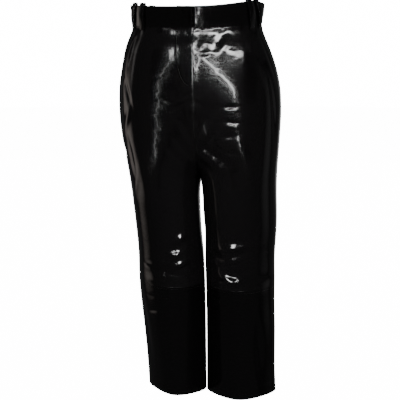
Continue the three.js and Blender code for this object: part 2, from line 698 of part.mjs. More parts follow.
function addLoop({ name, half, top, low, rise }) {
  const line = loopLine(rise);
  const grids = [[], []];
  line.forEach((place, i) => {
    const before = line[Math.max(i - 1, 0)];
    const after = line[Math.min(i + 1, line.length - 1)];
    const run = new THREE.Vector2(after.off - before.off, after.level - before.level).normalize();
    const share = Math.min(Math.max(place.level / BAND_DEPTH, 0), 1);
    const angle = (low + (top - low) * share) * DEGREE;
    const perMillimetre = (2 * gapAngle(half, angle, place.level)) / SEAM_GAP;
    const edges = [-LOOP_WIDTH / 2, LOOP_WIDTH / 2].map((side) => angle + side * perMillimetre);
    [LOOP_THICK / 2, -LOOP_THICK / 2].forEach((skin, side) => {
      const level = place.level - run.x * skin;
      const off = place.off + run.y * skin;
      const row = edges.map((edge) => {
        const normal = outward((a, l) => sectionPoint(half, a, l), half, edge, level);
        return clothPoint(half, edge, level).addScaledVector(normal, off);
      });
      grids[side].push(row);
    });
  });
  addMesh(name, wallGeometry(grids[0], grids[1], -half.sign), patent);
}

LOOPS.forEach(addLoop);

export default group;
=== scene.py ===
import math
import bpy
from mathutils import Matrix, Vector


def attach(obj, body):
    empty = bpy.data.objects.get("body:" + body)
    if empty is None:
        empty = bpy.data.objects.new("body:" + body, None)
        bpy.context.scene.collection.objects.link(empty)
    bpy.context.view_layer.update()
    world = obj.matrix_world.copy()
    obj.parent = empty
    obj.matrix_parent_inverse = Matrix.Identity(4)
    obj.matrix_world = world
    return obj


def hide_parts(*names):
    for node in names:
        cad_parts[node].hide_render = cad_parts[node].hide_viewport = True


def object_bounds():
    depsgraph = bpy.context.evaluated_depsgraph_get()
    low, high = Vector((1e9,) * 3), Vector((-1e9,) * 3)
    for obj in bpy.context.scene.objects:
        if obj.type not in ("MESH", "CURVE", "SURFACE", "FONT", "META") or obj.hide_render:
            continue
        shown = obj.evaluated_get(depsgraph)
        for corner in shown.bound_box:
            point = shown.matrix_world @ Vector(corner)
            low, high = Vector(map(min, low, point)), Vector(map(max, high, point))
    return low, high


bl_info = {
    "name": "Leather trousers",
    "version": (1, 0, 0),
    "blender": (4, 5, 0),
    "location": "View3D > Sidebar > Trousers",
    "description": "Cuts and sews glossy black leather trousers, panel by panel",
    "category": "Object",
}

import bpy
import numpy as np
from bpy.props import FloatProperty, FloatVectorProperty, PointerProperty
from mathutils import Vector

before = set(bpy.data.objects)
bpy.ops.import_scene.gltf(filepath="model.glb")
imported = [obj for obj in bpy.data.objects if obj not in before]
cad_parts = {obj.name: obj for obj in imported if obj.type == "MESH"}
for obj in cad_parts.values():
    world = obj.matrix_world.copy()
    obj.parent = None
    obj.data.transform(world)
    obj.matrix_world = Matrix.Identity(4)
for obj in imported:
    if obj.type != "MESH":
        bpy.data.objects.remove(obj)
CAD_BOX = [list(corner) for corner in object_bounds()]

# Sizes are in millimetres until a mesh is made. +Z is up, -Y the front, +X the trousers' left.
MM = 0.001
DEGREE = math.pi / 180

# Leather and the gaps of its layers. Sewn edges press together, so no light shows through a seam.
LEATHER = 1.6
SEAM_GAP = 0.3
SEWN_GAP = -0.1
BEHIND_GAP = 0.6
SIDE_SEAM = 4 * DEGREE

# Levels from the waist seam, and how the trousers part into two legs
CROTCH_LEVEL = -345
KNEE_LEVEL = -588
HEM_LEVEL = -850
RISE_START = -30
RISE_POWER = 2.2

# Hem
HEM_TURN_UP = 28
HEM_STEP = 1
HEM_SWELL = 0.12

# Where the large folds die away: from the ends of a half, and between two levels under the band
FOLD_FADE = 12 * DEGREE
FOLDS_FULL = -24
FOLDS_GONE = -2

# Waistband
BAND_DEPTH = 44
BAND_THICK = 2.6
BAND_PROUD = 0.8
BAND_TUCK = 4.2
BAND_RADIUS = 140
UNDERLAP = 34

# Fly, and how its layers shape the leather beside the lap
FLY_LENGTH = 132
FLY_TOP = -3
FLY_TUCK = 0.15
TUCK_WIDTH = 4
TUCK_FADE = 20
LAP_SWELL_RIGHT = 0.3
LAP_SWELL_LEFT = 1.1
LAP_SWELL_WIDTH = 17
SHIELD_PAST_MIDDLE = 8
SHIELD_PAST_FLY = 6

# Zip
ZIP_CLOTH = 1
ZIP_TAPE_WIDTH = 27
TAPE_BEHIND_EDGE = 1
ZIP_SLIDER_TOP = -13
ZIP_SLIDER_LENGTH = 10
ZIP_TEETH_WIDTH = 5
ZIP_TEETH_THICK = 1.4
ZIP_TEETH_MARGIN = 1
TOOTH_PITCH = 2
TOOTH_LENGTH = 0.9
TOOTH_WIDTH = 3.3
TOOTH_STAGGER = 0.5

# Pockets
POCKET_TOP = -16
POCKET_BOTTOM = -176
POCKET_LIFT = 1.6
POCKET_LIFT_WIDTH = 14
POCKET_BAG_TOP = POCKET_TOP - 2
POCKET_BAG_BOTTOM = -238
POCKET_BAG_THICK = 2
POCKET_BAG_REACH = 0.4
POCKET_BAG_ROUNDING = 0.55
POCKET_BAG_ROUNDING_POWER = 2.4
POCKET_BAG_WAVE = 24
POCKET_BAG_WAVE_HEIGHT = 0.25

# Belt loops
LOOP_WIDTH = 13
LOOP_THICK = 1.8
LOOP_STAND_OFF = 3.2
LOOP_RISE = 6
BACK_LOOP_RISE = 2
LOOP_HANG = 7
LOOP_TUCK = 16
LOOP_POINTS = 70
LOOP_POINTS_OUTSIDE = 42

# Stitches
STITCH_SHARE = 0.78
STITCH_WIDTH = 0.7
STITCH_HEIGHT = 0.5
STITCH_SINK_FLY = 0.2
STITCH_SINK_KNEE = 0.1
STITCH_LIFT_LOOP = 0.02
STITCH_INSET_LOOP = 2
STITCH_BELOW_KNEE = 5
GROOVE_WIDTH = 1.8
GROOVE_DEPTH = 0.15
GROOVE_FADE = 0.02

# Crinkle: the wavelength and height of each part, and how far a seam puckers the leather
BROAD_WAVE = 26
BROAD_HEIGHT = 0.32
WRINKLE_WAVE = 13
WRINKLE_HEIGHT = 0.26
WRINKLE_ROUNDNESS = 0.012
FINE_WAVE = 6.5
FINE_HEIGHT = 0.11
PUCKER_WAVE = 6
PUCKER_STRETCH = (1, 1, 0.4)
PUCKER_HEIGHT = 0.8
PUCKER_REACH = 13

# Edges: how crisp a seam across a panel is, how far wear reaches from an edge, and the places of
# the mesh's points in the zone beside an edge
LEVEL_SEAM_SHARP = 3.0
EDGE_WEAR = 2.5
PANEL_EDGE = (0, 0.22, 0.5, 0.9, 1.5, 2.4)
PANEL_EDGE_ZONE = 4
STRIP_EDGE = (0, 0.15, 0.4, 0.8, 1.4, 2.2)
STRIP_EDGE_ZONE = 3.5


def table(columns, *rows):
    """A short table as one array for each named column."""
    return {name: np.array([row[i] for row in rows], float) for i, name in enumerate(columns.split())}


SECTION = "level outer front back roll pitch"
RIGHT_SECTIONS = table(
    SECTION,
    (56, -147.5, -96, 96, 0.013, 0),
    (22, -146, -93, 94, 0.013, 0),
    (0, -143.5, -91, 92, 0.012, 0),
    (-36, -156, -97, 102, 0.008, 0),
    (-80, -168, -103, 115, 0.004, 0),
    (-130, -176.5, -107, 126, 0, 0),
    (-180, -178.5, -108, 131, 0, 0),
    (-230, -174.5, -107, 128, 0, 0),
    (-285, -164.5, -106, 119, 0, 0),
    (-345, -154, -104, 109, -0.01, 0),
    (-379, -149.5, -102, 104, -0.015, 0),
    (-421, -145, -98, 100, -0.02, 0),
    (-464, -141.3, -94, 96, -0.03, 0),
    (-520, -137, -90, 92, -0.04, 0),
    (-575, -136.3, -86, 89, -0.05, 0),
    (-620, -134, -84, 87, -0.06, 0),
    (-700, -126, -82, 84, -0.07, -0.01),
    (-780, -119, -80, 82, -0.08, -0.02),
    (-850, -114.6, -79, 81, -0.09, -0.02),
)
LEFT_SECTIONS = table(
    SECTION,
    (56, 149, -96, 96, 0.013, 0),
    (22, 147, -93, 94, 0.013, 0),
    (0, 144, -91, 92, 0.012, 0),
    (-36, 154, -97, 102, 0.008, 0),
    (-80, 170.5, -103, 115, 0.004, 0),
    (-130, 183.5, -107, 126, 0, 0),
    (-180, 189, -108, 131, 0, 0),
    (-230, 188, -107, 128, 0, 0),
    (-285, 185, -106, 119, 0, 0),
    (-345, 182, -104, 109, 0, 0),
    (-379, 182, -102, 104, 0, 0),
    (-421, 183, -98, 100, 0, 0),
    (-464, 182.5, -94, 96, 0, 0),
    (-520, 179.5, -90, 90, 0, 0),
    (-575, 180, -85, 84, 0, 0.02),
    (-620, 180, -81, 80, 0, 0.03),
    (-700, 182, -77, 76, 0.005, 0.03),
    (-780, 182.5, -74, 74, 0.01, 0.03),
    (-850, 185, -72, 73, 0.015, 0.03),
)

# The middle of the trousers above the crotch, and the inside of each leg below it.
MIDDLE_LINE = table(
    "level across", (56, -1), (0, -1), (-80, 0), (-180, 2), (-285, 6), (-345, 8.5)
)
RIGHT_INNER_LINE = table(
    "level across",
    (-345, 8.35),
    (-379, 6),
    (-421, 7),
    (-464, 9.5),
    (-520, 14.5),
    (-575, 17.5),
    (-620, 19),
    (-700, 20.3),
    (-780, 21.2),
    (-850, 21.4),
)
LEFT_INNER_LINE = table(
    "level across",
    (-345, 8.65),
    (-379, 12.5),
    (-421, 14.5),
    (-464, 18),
    (-520, 18.7),
    (-575, 19.7),
    (-620, 21),
    (-700, 22.2),
    (-780, 22.6),
    (-850, 22.8),
)

# How far the section dips at the front and back, and how each half's front swells up between.
DIPS = table(
    "level front back right left",
    (56, 3.2, 6, 0.6, 8),
    (44, 3.2, 6, 0.6, 7.4),
    (0, 5.5, 5.5, 0, 0.5),
    (-60, 3, 3, 0, 0),
    (-150, 0, 0, 0, 0),
)
SQUARENESS = table(
    "level square",
    (56, 0.045),
    (-230, 0.04),
    (-345, 0.02),
    (-464, 0),
    (-620, -0.025),
    (-760, -0.05),
    (-850, -0.055),
)

# Large folds: turn in degrees from the side line, lean from upright, half sizes, out when positive.
FOLD = "turn level lean long wide deep"
RIGHT_FOLDS = table(
    FOLD,
    (-34, -55, 0, 55, 11.5, 3.2),
    (-27, -60, 0, 50, 11.5, -2.6),
    (-14, -150, 6, 58, 11.5, -3.4),
    (-26, -170, 9, 60, 11.5, -2.6),
    (-8, -272, 62, 34, 11.5, -3.2),
    (-84, -196, 66, 40, 11.5, -0.8),
    (-118, -268, 38, 40, 11.5, -3.4),
    (-140, -318, 52, 34, 11.5, -3.4),
    (-70, -350, 4, 60, 15, 2.4),
    (-96, -500, -62, 32, 11.5, -2.8),
    (-84, -545, -70, 36, 11.5, -3.2),
    (-132, -560, 68, 30, 11.5, -2.6),
    (-80, -722, 0, 62, 11.5, -3.4),
    (-28, -700, 3, 80, 13, -2.6),
    (62, -262, -62, 46, 11.5, -3.6),
    (84, -300, -68, 48, 11.5, -4),
    (118, -330, -62, 40, 11.5, -3.6),
    (96, -540, 72, 44, 11.5, -3.6),
    (70, -575, -74, 40, 11.5, -3.2),
    (100, -720, 4, 70, 13, -3),
)
LEFT_FOLDS = table(
    FOLD,
    (-44, -55, 0, 55, 11.5, 3.2),
    (-30, -60, 0, 50, 24, -1.4),
    (-18, -70, -8, 46, 11.5, -2.4),
    (-28, -185, -5, 66, 12, -2.6),
    (-110, -262, -30, 46, 11.5, -4),
    (-132, -300, -44, 38, 11.5, -3.6),
    (-72, -330, -3, 70, 15, 2.4),
    (-86, -497, 70, 30, 11.5, -2.8),
    (-122, -518, -58, 28, 11.5, -3),
    (-84, -560, -68, 38, 11.5, -3.6),
    (-45, -575, 74, 34, 11.5, -2.6),
    (-112, -710, 2, 80, 13, -2.8),
    (-50, -730, -4, 70, 13, -2.4),
    (62, -258, 62, 46, 11.5, -3.4),
    (86, -306, 68, 48, 11.5, -4),
    (120, -334, 60, 40, 11.5, -3.6),
    (92, -552, -72, 44, 11.5, -3.6),
    (64, -520, 74, 36, 11.5, -2.8),
    (90, -735, -3, 70, 13, -3),
)

# Finer creases, by their place across and level. Lean is from upright, towards +X at the top.
CREASE = "across level lean long wide deep"
FRONT_RIGHT_CREASES = table(
    CREASE,
    (-146, -148, -16, 34, 5, -2.2),
    (-150, -215, 14, 36, 5, 1.8),
    (-140, -285, -12, 40, 6, -2),
    (-132, -370, 10, 40, 6, 1.6),
    (-78, -112, 88, 9, 4, -0.2),
    (-80, -140, 93, 9, 4, -0.25),
    (-81, -164, 86, 9, 4, -0.2),
    (-80, -192, 90, 9, 4, -0.25),
    (-76, -226, 94, 9, 4, -0.2),
    (-70, -258, 87, 9, 4, -0.25),
    (-36, -536, 66, 20, 8, 4),
    (-40, -512, 78, 12, 7.5, 3.6),
    (-30, -474, 40, 14, 7.5, 3.8),
    (-8, -232, -25, 30, 5, -1.0),
    (-16, -246, -30, 26, 4, 0.8),
    (-24, -262, -38, 30, 5, -1.0),
    (-38, -280, -48, 30, 5, -0.8),
    (-20, -300, -55, 24, 5, -0.9),
    (-12, -150, 60, 16, 4, -0.6),
    (-30, -172, 64, 20, 4, -0.6),
    (-46, -166, -62, 18, 4, 0.5),
    (-60, -520, 75, 34, 5, -1.0),
    (-72, -536, 80, 30, 4, 0.8),
    (-50, -556, -78, 34, 5, -1.0),
    (-66, -574, 84, 26, 4, 0.7),
    (-30, -546, 60, 20, 4, -0.8),
    (-96, -548, -70, 22, 5, -0.8),
    (-60, -610, 80, 30, 5, -0.8),
    (-44, -640, -66, 26, 5, -0.6),
    (-90, -650, 70, 24, 5, -0.6),
)
FRONT_LEFT_CREASES = table(
    CREASE,
    (55, -32, 24, 24, 7, -1.1),
    (114, -50, -6, 45, 13, 1.6),
    (70, -37, 22, 26, 6, 0.9),
    (30, -56, 88, 20, 5, 0.55),
    (82, -174, 86, 13, 5, -0.8),
    (82, -207, 92, 13, 5, -0.8),
    (80, -238, 85, 13, 5, -0.8),
    (80, -274, 90, 13, 5, -0.8),
    (95, -491, 82, 34, 9, 4.8),
    (101, -563, 72, 26, 9, 4.4),
    (72, -560, -70, 16, 8, 3.6),
    (20, -222, 20, 34, 5, -1.1),
    (30, -240, 24, 30, 5, 0.9),
    (26, -262, 32, 34, 5, -1.0),
    (42, -285, 42, 28, 5, -0.4),
    (58, -300, 52, 26, 5, -0.4),
    (12, -166, -58, 16, 4, -0.5),
    (62, -528, -66, 30, 5, -1.1),
    (84, -520, 74, 30, 5, 0.9),
    (40, -546, 62, 24, 4, -1.0),
    (96, -560, -76, 34, 5, -1.1),
    (70, -572, 80, 32, 4, 0.8),
    (120, -540, -60, 24, 5, -0.8),
    (110, -600, 76, 30, 5, -0.8),
    (76, -620, -72, 28, 5, -0.7),
)
BACK_RIGHT_CREASES = table(
    CREASE,
    (-40, -250, 62, 40, 6, -1.2),
    (-70, -268, 66, 44, 6, 0.9),
    (-50, -300, 70, 40, 6, -1.2),
    (-84, -312, 74, 36, 5, -1.0),
    (-30, -318, 58, 26, 5, -1.0),
    (-64, -540, 78, 36, 5, -1.1),
    (-80, -556, -80, 38, 5, -1.0),
    (-56, -572, 82, 34, 5, 0.8),
    (-90, -600, -74, 28, 5, -0.8),
)
BACK_LEFT_CREASES = table(
    CREASE,
    (48, -252, -62, 40, 6, -1.2),
    (80, -270, -66, 44, 6, 0.9),
    (60, -302, -70, 40, 6, -1.2),
    (96, -316, -74, 36, 5, -1.0),
    (36, -322, -58, 26, 5, -1.0),
    (100, -540, -78, 36, 5, -1.1),
    (84, -560, 80, 38, 5, -1.0),
    (110, -576, -82, 34, 5, 0.8),
    (90, -604, 74, 28, 5, -0.8),
)

# Patches of the front where the leather is crinkled more, and how much.
PATCH = "across level wide high gain"
PATCHES = table(
    PATCH,
    (30, -34, 50, 20, 1.1),
    (88, -45, 24, 34, 0.5),
    (20, 30, 40, 20, 0.4),
    (-30, -115, 12, 44, 0.6),
    (-72, -130, 20, 60, 0.15),
    (-22, -165, 28, 20, 0.6),
    (92, -225, 14, 50, 0.5),
    (-50, -335, 22, 34, 0.6),
)

# The fly's line of stitches, from the waist seam round to the middle seam.
PATH = "across level"
FLY_STITCHES = table(
    PATH, (-35, -3), (-34.5, -45), (-32, -80), (-27, -103), (-19, -119), (-9, -128), (-3, -130.5)
)

LOOPS = {
    "loop_front_right_inner": ("right", -47.5, -45, LOOP_RISE),
    "loop_front_right_outer": ("right", -34, -25, LOOP_RISE),
    "loop_front_left_inner": ("left", -43, -36, LOOP_RISE),
    "loop_front_left_outer": ("left", -32, -17.5, LOOP_RISE),
    "loop_back_right": ("right", 46, 44, BACK_LOOP_RISE),
    "loop_back_left": ("left", 46, 44, BACK_LOOP_RISE),
    "loop_back_middle": ("right", 90, 90, BACK_LOOP_RISE),
}


class Curve:
    """A natural cubic spline through one column of a table, taken along another."""

    def __init__(self, rows, column, along="level"):
        order = np.argsort(rows[along])
        self.x = rows[along][order]
        self.y = rows[column][order]
        step = np.diff(self.x)
        size = len(self.x)
        matrix = np.eye(size)
        right = np.zeros(size)
        for i in range(1, size - 1):
            matrix[i, i - 1 : i + 2] = step[i - 1], 2 * (step[i - 1] + step[i]), step[i]
            slopes = (self.y[i + 1] - self.y[i]) / step[i] - (self.y[i] - self.y[i - 1]) / step[i - 1]
            right[i] = 6 * slopes
        self.bend = np.linalg.solve(matrix, right)

    def __call__(self, level):
        at = np.clip(level, self.x[0], self.x[-1])
        i = np.clip(np.searchsorted(self.x, at) - 1, 0, len(self.x) - 2)
        step = self.x[i + 1] - self.x[i]
        a = (self.x[i + 1] - at) / step
        b = (at - self.x[i]) / step
        curve = ((a**3 - a) * self.bend[i] + (b**3 - b) * self.bend[i + 1]) * step**2 / 6
        return a * self.y[i] + b * self.y[i + 1] + curve


def smooth_step(start, stop, value):
    t = np.clip((value - start) / (stop - start), 0, 1)
    return t * t * (3 - 2 * t)


class Noise:
    """Smooth seeded noise in space, from -1 to 1."""

    SIZE = 32

    def __init__(self, seed):
        self.lattice = np.random.default_rng(seed).uniform(-1, 1, (self.SIZE,) * 3)

    def __call__(self, points, wavelength):
        place = points / wavelength
        cell = np.floor(place).astype(int)
        t = place - cell
        t = t * t * t * (t * (6 * t - 15) + 10)
        total = 0
        for corner in np.ndindex(2, 2, 2):
            at = (cell + corner) % self.SIZE
            weight = np.prod(np.where(corner, t, 1 - t), axis=-1)
            total = total + weight * self.lattice[at[..., 0], at[..., 1], at[..., 2]]
        return total


NOISE = Noise(11)
squareness = Curve(SQUARENESS, "square")
front_dip = Curve(DIPS, "front")
back_dip = Curve(DIPS, "back")


def ring_across(angle, level):
    square = squareness(level)
    return (np.cos(angle) - square * np.cos(3 * angle)) / (1 - square)


def ring_deep(angle, level):
    square = squareness(level)
    return (np.sin(angle) + square * np.sin(3 * angle)) / (1 - square)


def angle_at(across, level, halvings=44):
    """The angle where the unit ring has a given place across, found by halving."""
    shape = np.broadcast(across, level).shape
    low = np.zeros(shape)
    high = np.full(shape, math.pi)
    for _ in range(halvings):
        middle = (low + high) / 2
        beyond = ring_across(middle, level) > across
        low = np.where(beyond, middle, low)
        high = np.where(beyond, high, middle)
    return (low + high) / 2


def parting(level):
    """How far the two halves have parted into legs: 0 at the waist, 1 from the crotch down."""
    share = np.clip((RISE_START - level) / (RISE_START - CROTCH_LEVEL), 0, 1)
    return np.sin(math.pi / 2 * share**RISE_POWER) ** 2


def end_angle(level):
    """The angle, either side of the side line, where a half ends."""
    level = np.asarray(level, float)
    flat, back = np.unique(level, return_inverse=True)
    ends = np.where(flat <= CROTCH_LEVEL, math.pi, angle_at(-parting(flat), flat))
    return ends[back].reshape(level.shape)


class Half:
    """One half of the garment: its splines, folds and the sign of its side."""

    def __init__(self, name, sections, inner_line, folds, creases, sign):
        self.name = name
        self.sign = sign
        self.folds = folds
        self.creases = creases
        self.outer, self.front, self.back, self.roll, self.pitch = (
            Curve(sections, column) for column in SECTION.split()[1:]
        )
        self.middle_line = Curve(MIDDLE_LINE, "across")
        self.leg_line = Curve(inner_line, "across")
        self.swell = Curve(DIPS, name)

    def inner(self, level):
        return np.where(level > CROTCH_LEVEL, self.middle_line(level), self.leg_line(level))

    def radius(self, level):
        return np.abs(self.outer(level) - self.inner(level)) / (1 + parting(level))

    def section(self, angle, level):
        """A point of the bare section, before folds."""
        outer, inner = self.outer(level), self.inner(level)
        wide = (outer - inner) / (1 + parting(level))
        middle = (self.front(level) + self.back(level)) / 2
        deep = (self.back(level) - self.front(level)) / 2
        depth = ring_deep(angle, level)
        x = outer - wide + wide * ring_across(angle, level)
        y = middle + deep * depth
        tilt = self.roll(level) * (x - inner) + self.pitch(level) * (y - middle)
        swell = self.swell(level) * np.maximum(4 * depth**2 * (1 - depth**2), 0)
        front_lift = swell - front_dip(level) * depth**2
        lift = np.where(depth < 0, front_lift, -back_dip(level) * depth**2)
        return np.stack([x, y, level + tilt + lift], axis=-1)

    def outward(self, angle, level):
        """The outward direction of the bare section's surface."""
        turn, rise = 0.004, 0.6
        across = self.section(angle + turn, level) - self.section(angle - turn, level)
        up = self.section(angle, level + rise) - self.section(angle, level - rise)
        normal = np.cross(across, up) * self.sign
        return normal / np.linalg.norm(normal, axis=-1, keepdims=True)

    def fold_height(self, angle, level):
        """Large folds, which die away towards the middle, the inner leg and the band."""
        from_end = smooth_step(0, FOLD_FADE, end_angle(level) - np.abs(angle))
        from_band = 1 - smooth_step(FOLDS_FULL, FOLDS_GONE, level)
        radius = self.radius(level)
        height = 0
        rows = zip(*(self.folds[column] for column in FOLD.split()))
        for turn, at, lean, long, wide, deep in rows:
            along, beside = leaning((angle - turn * DEGREE) * radius, level - at, lean)
            height = height + deep * np.exp(-((along / long) ** 2) - (beside / wide) ** 2)
        return height * from_end * from_band

    def cloth(self, angle, level):
        """A point of the leather's outer face, with its large folds, and the outward direction."""
        normal = self.outward(angle, level)
        height = self.fold_height(angle, level)
        return self.section(angle, level) + normal * height[..., None], normal

    def front_angle(self, across, level):
        wide = (self.outer(level) - self.inner(level)) / (1 + parting(level))
        centre = self.outer(level) - wide
        return -angle_at((across - centre) / wide, level)

    def arc(self, angle, level):
        """Millimetres of surface for each unit of angle."""
        step = 0.01
        ends = self.section(angle + step, level) - self.section(angle - step, level)
        return np.linalg.norm(ends, axis=-1) / (2 * step)


def leaning(across, up, lean):
    """Distances along and beside a line that leans by some degrees from upright."""
    cos, sin = math.cos(lean * DEGREE), math.sin(lean * DEGREE)
    return up * cos + across * sin, across * cos - up * sin


RIGHT = Half(
    "right",
    RIGHT_SECTIONS,
    RIGHT_INNER_LINE,
    RIGHT_FOLDS,
    (FRONT_RIGHT_CREASES, BACK_RIGHT_CREASES),
    -1,
)
LEFT = Half(
    "left",
    LEFT_SECTIONS,
    LEFT_INNER_LINE,
    LEFT_FOLDS,
    (FRONT_LEFT_CREASES, BACK_LEFT_CREASES),
    1,
)
HALVES = {"right": RIGHT, "left": LEFT}


def end_gap(half, level):
    """The half gap at the middle seam, measured across the middle plane above the crotch."""
    end = end_angle(level)
    plain = SEWN_GAP / 2 / half.arc(end, level)
    wanted = -parting(level) + SEWN_GAP / 2 / half.radius(level)
    above = np.maximum(end - angle_at(wanted, level), plain)
    return np.where(level <= CROTCH_LEVEL, plain, above)


def side_gap(half, level):
    return SEWN_GAP / 2 / half.arc(np.full_like(level, SIDE_SEAM), level)


def front_span(half, level):
    return -end_angle(level) + end_gap(half, level), SIDE_SEAM - side_gap(half, level)


def back_span(half, level):
    return SIDE_SEAM + side_gap(half, level), end_angle(level) - end_gap(half, level)


def tuck_share(across, level):
    """How far the left front passes under the lap, beside the middle line."""
    return 1 - smooth_step(0, TUCK_WIDTH, across - LEFT.inner(level))


def lap_swell(half, across, level):
    """How far the layers under the lap push the fronts and the band out beside it."""
    beside = 1 - smooth_step(0, LAP_SWELL_WIDTH, np.abs(across - half.inner(level)))
    along = smooth_step(-FLY_LENGTH - TUCK_FADE, -FLY_LENGTH + TUCK_FADE, level)
    shown = across > half.inner(level) - 1 if half is LEFT else True
    height = LAP_SWELL_RIGHT if half is RIGHT else LAP_SWELL_LEFT
    return height * beside * along * shown


def pocket_lift(half, angle, level):
    """How far the bag behind a pocket's mouth pushes the front out beside the side seam."""
    reach = np.abs(half.outer(level) - half.inner(level))
    beside = smooth_step(-1, 0, (angle - SIDE_SEAM) * reach / POCKET_LIFT_WIDTH)
    middle = (POCKET_TOP + POCKET_BOTTOM) / 2
    along = np.maximum(1 - ((level - middle) / ((POCKET_TOP - POCKET_BOTTOM) / 2)) ** 2, 0)
    return POCKET_LIFT * beside * along


def path_points(path, count=120):
    """Even points of a smooth line through a table of places across and levels."""
    steps = np.hypot(np.diff(path["across"]), np.diff(path["level"]))
    run = {"run": np.concatenate([[0], np.cumsum(steps)]), **path}
    at = np.linspace(0, run["run"][-1], count)
    return np.stack([Curve(run, column, "run")(at) for column in PATH.split()], axis=-1)


def groove(path, across, level):
    """A groove of depth 1 along a path, which fades at its ends."""
    line = path_points(path, 60)
    away = np.full(across.shape, np.inf)
    share = np.zeros(across.shape)
    for i, (x, z) in enumerate(line):
        distance = np.hypot(across - x, level - z)
        nearer = distance < away
        away = np.where(nearer, distance, away)
        share = np.where(nearer, i / (len(line) - 1), share)
    ends = smooth_step(0, GROOVE_FADE, share) * (1 - smooth_step(1 - GROOVE_FADE, 1, share))
    return np.exp(-((away / GROOVE_WIDTH) ** 2)) * ends


def unevenness(points, level):
    """How strong the crinkle is: slight in general, and stronger in some patches of the front."""
    sizes = bpy.context.scene.trousers_sizes
    share = np.full(level.shape, sizes.crinkle_depth)
    rows = zip(*(PATCHES[column] for column in PATCH.split()))
    for across, at, wide, high, gain in rows:
        reach = ((points[..., 0] - across) / wide) ** 2 + ((level - at) / high) ** 2
        share = share + gain * np.exp(-reach) * (points[..., 1] < 0)
    return share


def crinkle(points, from_edge):
    """The unevenness of soft patent leather, stronger beside a seam. Each part's noise is shifted."""
    broad = NOISE(points, BROAD_WAVE) * BROAD_HEIGHT
    wrinkled = 0.5 - np.sqrt(NOISE(points + 71, WRINKLE_WAVE) ** 2 + WRINKLE_ROUNDNESS)
    fine = NOISE(points + 37, FINE_WAVE) * FINE_HEIGHT
    beside_seam = np.exp(-from_edge / PUCKER_REACH)
    pucker = NOISE((points + 19) * PUCKER_STRETCH, PUCKER_WAVE) * beside_seam * PUCKER_HEIGHT
    return broad + wrinkled * WRINKLE_HEIGHT + fine + pucker


def relief(half, front, points, level, from_edge):
    """Finer creases, the groove of the fly's stitches and crinkle, in millimetres outwards."""
    sizes = bpy.context.scene.trousers_sizes
    across = points[..., 0]
    height = 0
    creases = half.creases[0 if front else 1]
    for x, at, lean, long, wide, deep in zip(*(creases[column] for column in CREASE.split())):
        along, beside = leaning(across - x, level - at, lean)
        height = height + deep * np.exp(-((along / long) ** 2) - (beside / wide) ** 2)
    height = height * sizes.crease_depth
    if front and half is RIGHT:
        height = height - groove(FLY_STITCHES, across, level) * GROOVE_DEPTH
    return height + crinkle(points, from_edge) * unevenness(points, level)


def crowded(length, edge, zone, count):
    """Places from 0 to a length, close beside both ends and even between the two end zones."""
    edge = np.array(edge)
    middle = np.linspace(zone, length - zone, count)
    return np.concatenate([edge, middle, length - edge[::-1]])


def panel_places(length):
    """Places along or across a panel, as the spacing asks."""
    spacing = bpy.context.scene.trousers_sizes.spacing * 1000
    count = max(int((length - 2 * PANEL_EDGE_ZONE) / spacing), 4)
    return crowded(length, PANEL_EDGE, PANEL_EDGE_ZONE, count)


def grid(start, stop, levels, shares):
    """A grid of angles, from a start to a stop at each level, and the grid of its levels."""
    angle = start[:, None] + (stop - start)[:, None] * shares[None, :]
    return angle, np.broadcast_to(levels[:, None], angle.shape)


def rounding(distance, radius):
    """How far an edge's face has turned in, at a distance from the edge."""
    inside = radius - np.minimum(distance, radius)
    return radius - np.sqrt(np.maximum(radius**2 - inside**2, 0))


def edge_distance(points, top, bottom, level, sharp=1.0):
    """Distance from the nearest edge. A sharp factor over 1 makes the level edges crisper."""
    steps = np.linalg.norm(np.diff(points, axis=1), axis=-1)
    along = np.concatenate([np.zeros((len(points), 1)), np.cumsum(steps, axis=1)], axis=1)
    beside = np.minimum(along, along[:, -1:] - along)
    return np.minimum(beside, sharp * np.minimum(top - level, level - bottom))


def wall(name, points, normal, heights, turned, sign, inside=True):
    """A wall whose outer and inner faces lie at two heights off a grid, turned in at the edges."""
    outer = points + normal * (heights[0] - turned)[..., None]
    inner = points + normal * (heights[1] + turned)[..., None]
    return wall_mesh(name, outer, inner, sign, inside)


def wall_mesh(name, outer, inner, sign, inside=True):
    """A closed wall between two grids of points, in metres."""
    rows, columns = outer.shape[:2]
    size = rows * columns
    points = np.concatenate([outer.reshape(-1, 3), inner.reshape(-1, 3)]) * MM
    index = np.arange(size).reshape(rows, columns)
    a, b = index[:-1, :-1].ravel(), index[1:, :-1].ravel()
    c, d = index[1:, 1:].ravel(), index[:-1, 1:].ravel()
    faces = [np.stack([a, b, c, d], axis=1), np.stack([a, d, c, b], axis=1) + size]
    rim = np.concatenate([index[0, :-1], index[:-1, -1], index[-1, :0:-1], index[:0:-1, 0]])
    after = np.roll(rim, -1)
    faces.append(np.stack([rim, after, after + size, rim + size], axis=1))
    faces = np.concatenate(faces)
    if sign < 0:
        faces = faces[:, ::-1]
    mesh = bpy.data.meshes.new(name)
    mesh.from_pydata(points.tolist(), [], faces.tolist())
    mesh.shade_smooth()
    lining = mesh.attributes.new("inside", "FLOAT", "POINT")
    lining.data.foreach_set("value", np.repeat([0.0, float(inside)], size))
    piece = bpy.data.objects.new(name, mesh)
    bpy.context.scene.collection.objects.link(piece)
    return piece


def mark_edges(piece, from_edge):
    """Keeps, for the material, how near each point is to a sewn or turned edge."""
    near = np.exp(-from_edge.ravel() / EDGE_WEAR)
    worn = piece.data.attributes.new("edge", "FLOAT", "POINT")
    worn.data.foreach_set("value", np.tile(near, 2))


def hand_over(piece, node=None):
    """Attach a piece to the root, and hide the model's solid that it stands for, where one is given.
    """
    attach(piece, "root")
    if node:
        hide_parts(node)


def finish(piece, material, node):
    """Give a piece its material and hand it over."""
    piece.data.materials.append(materials()[material])
    hand_over(piece, node)


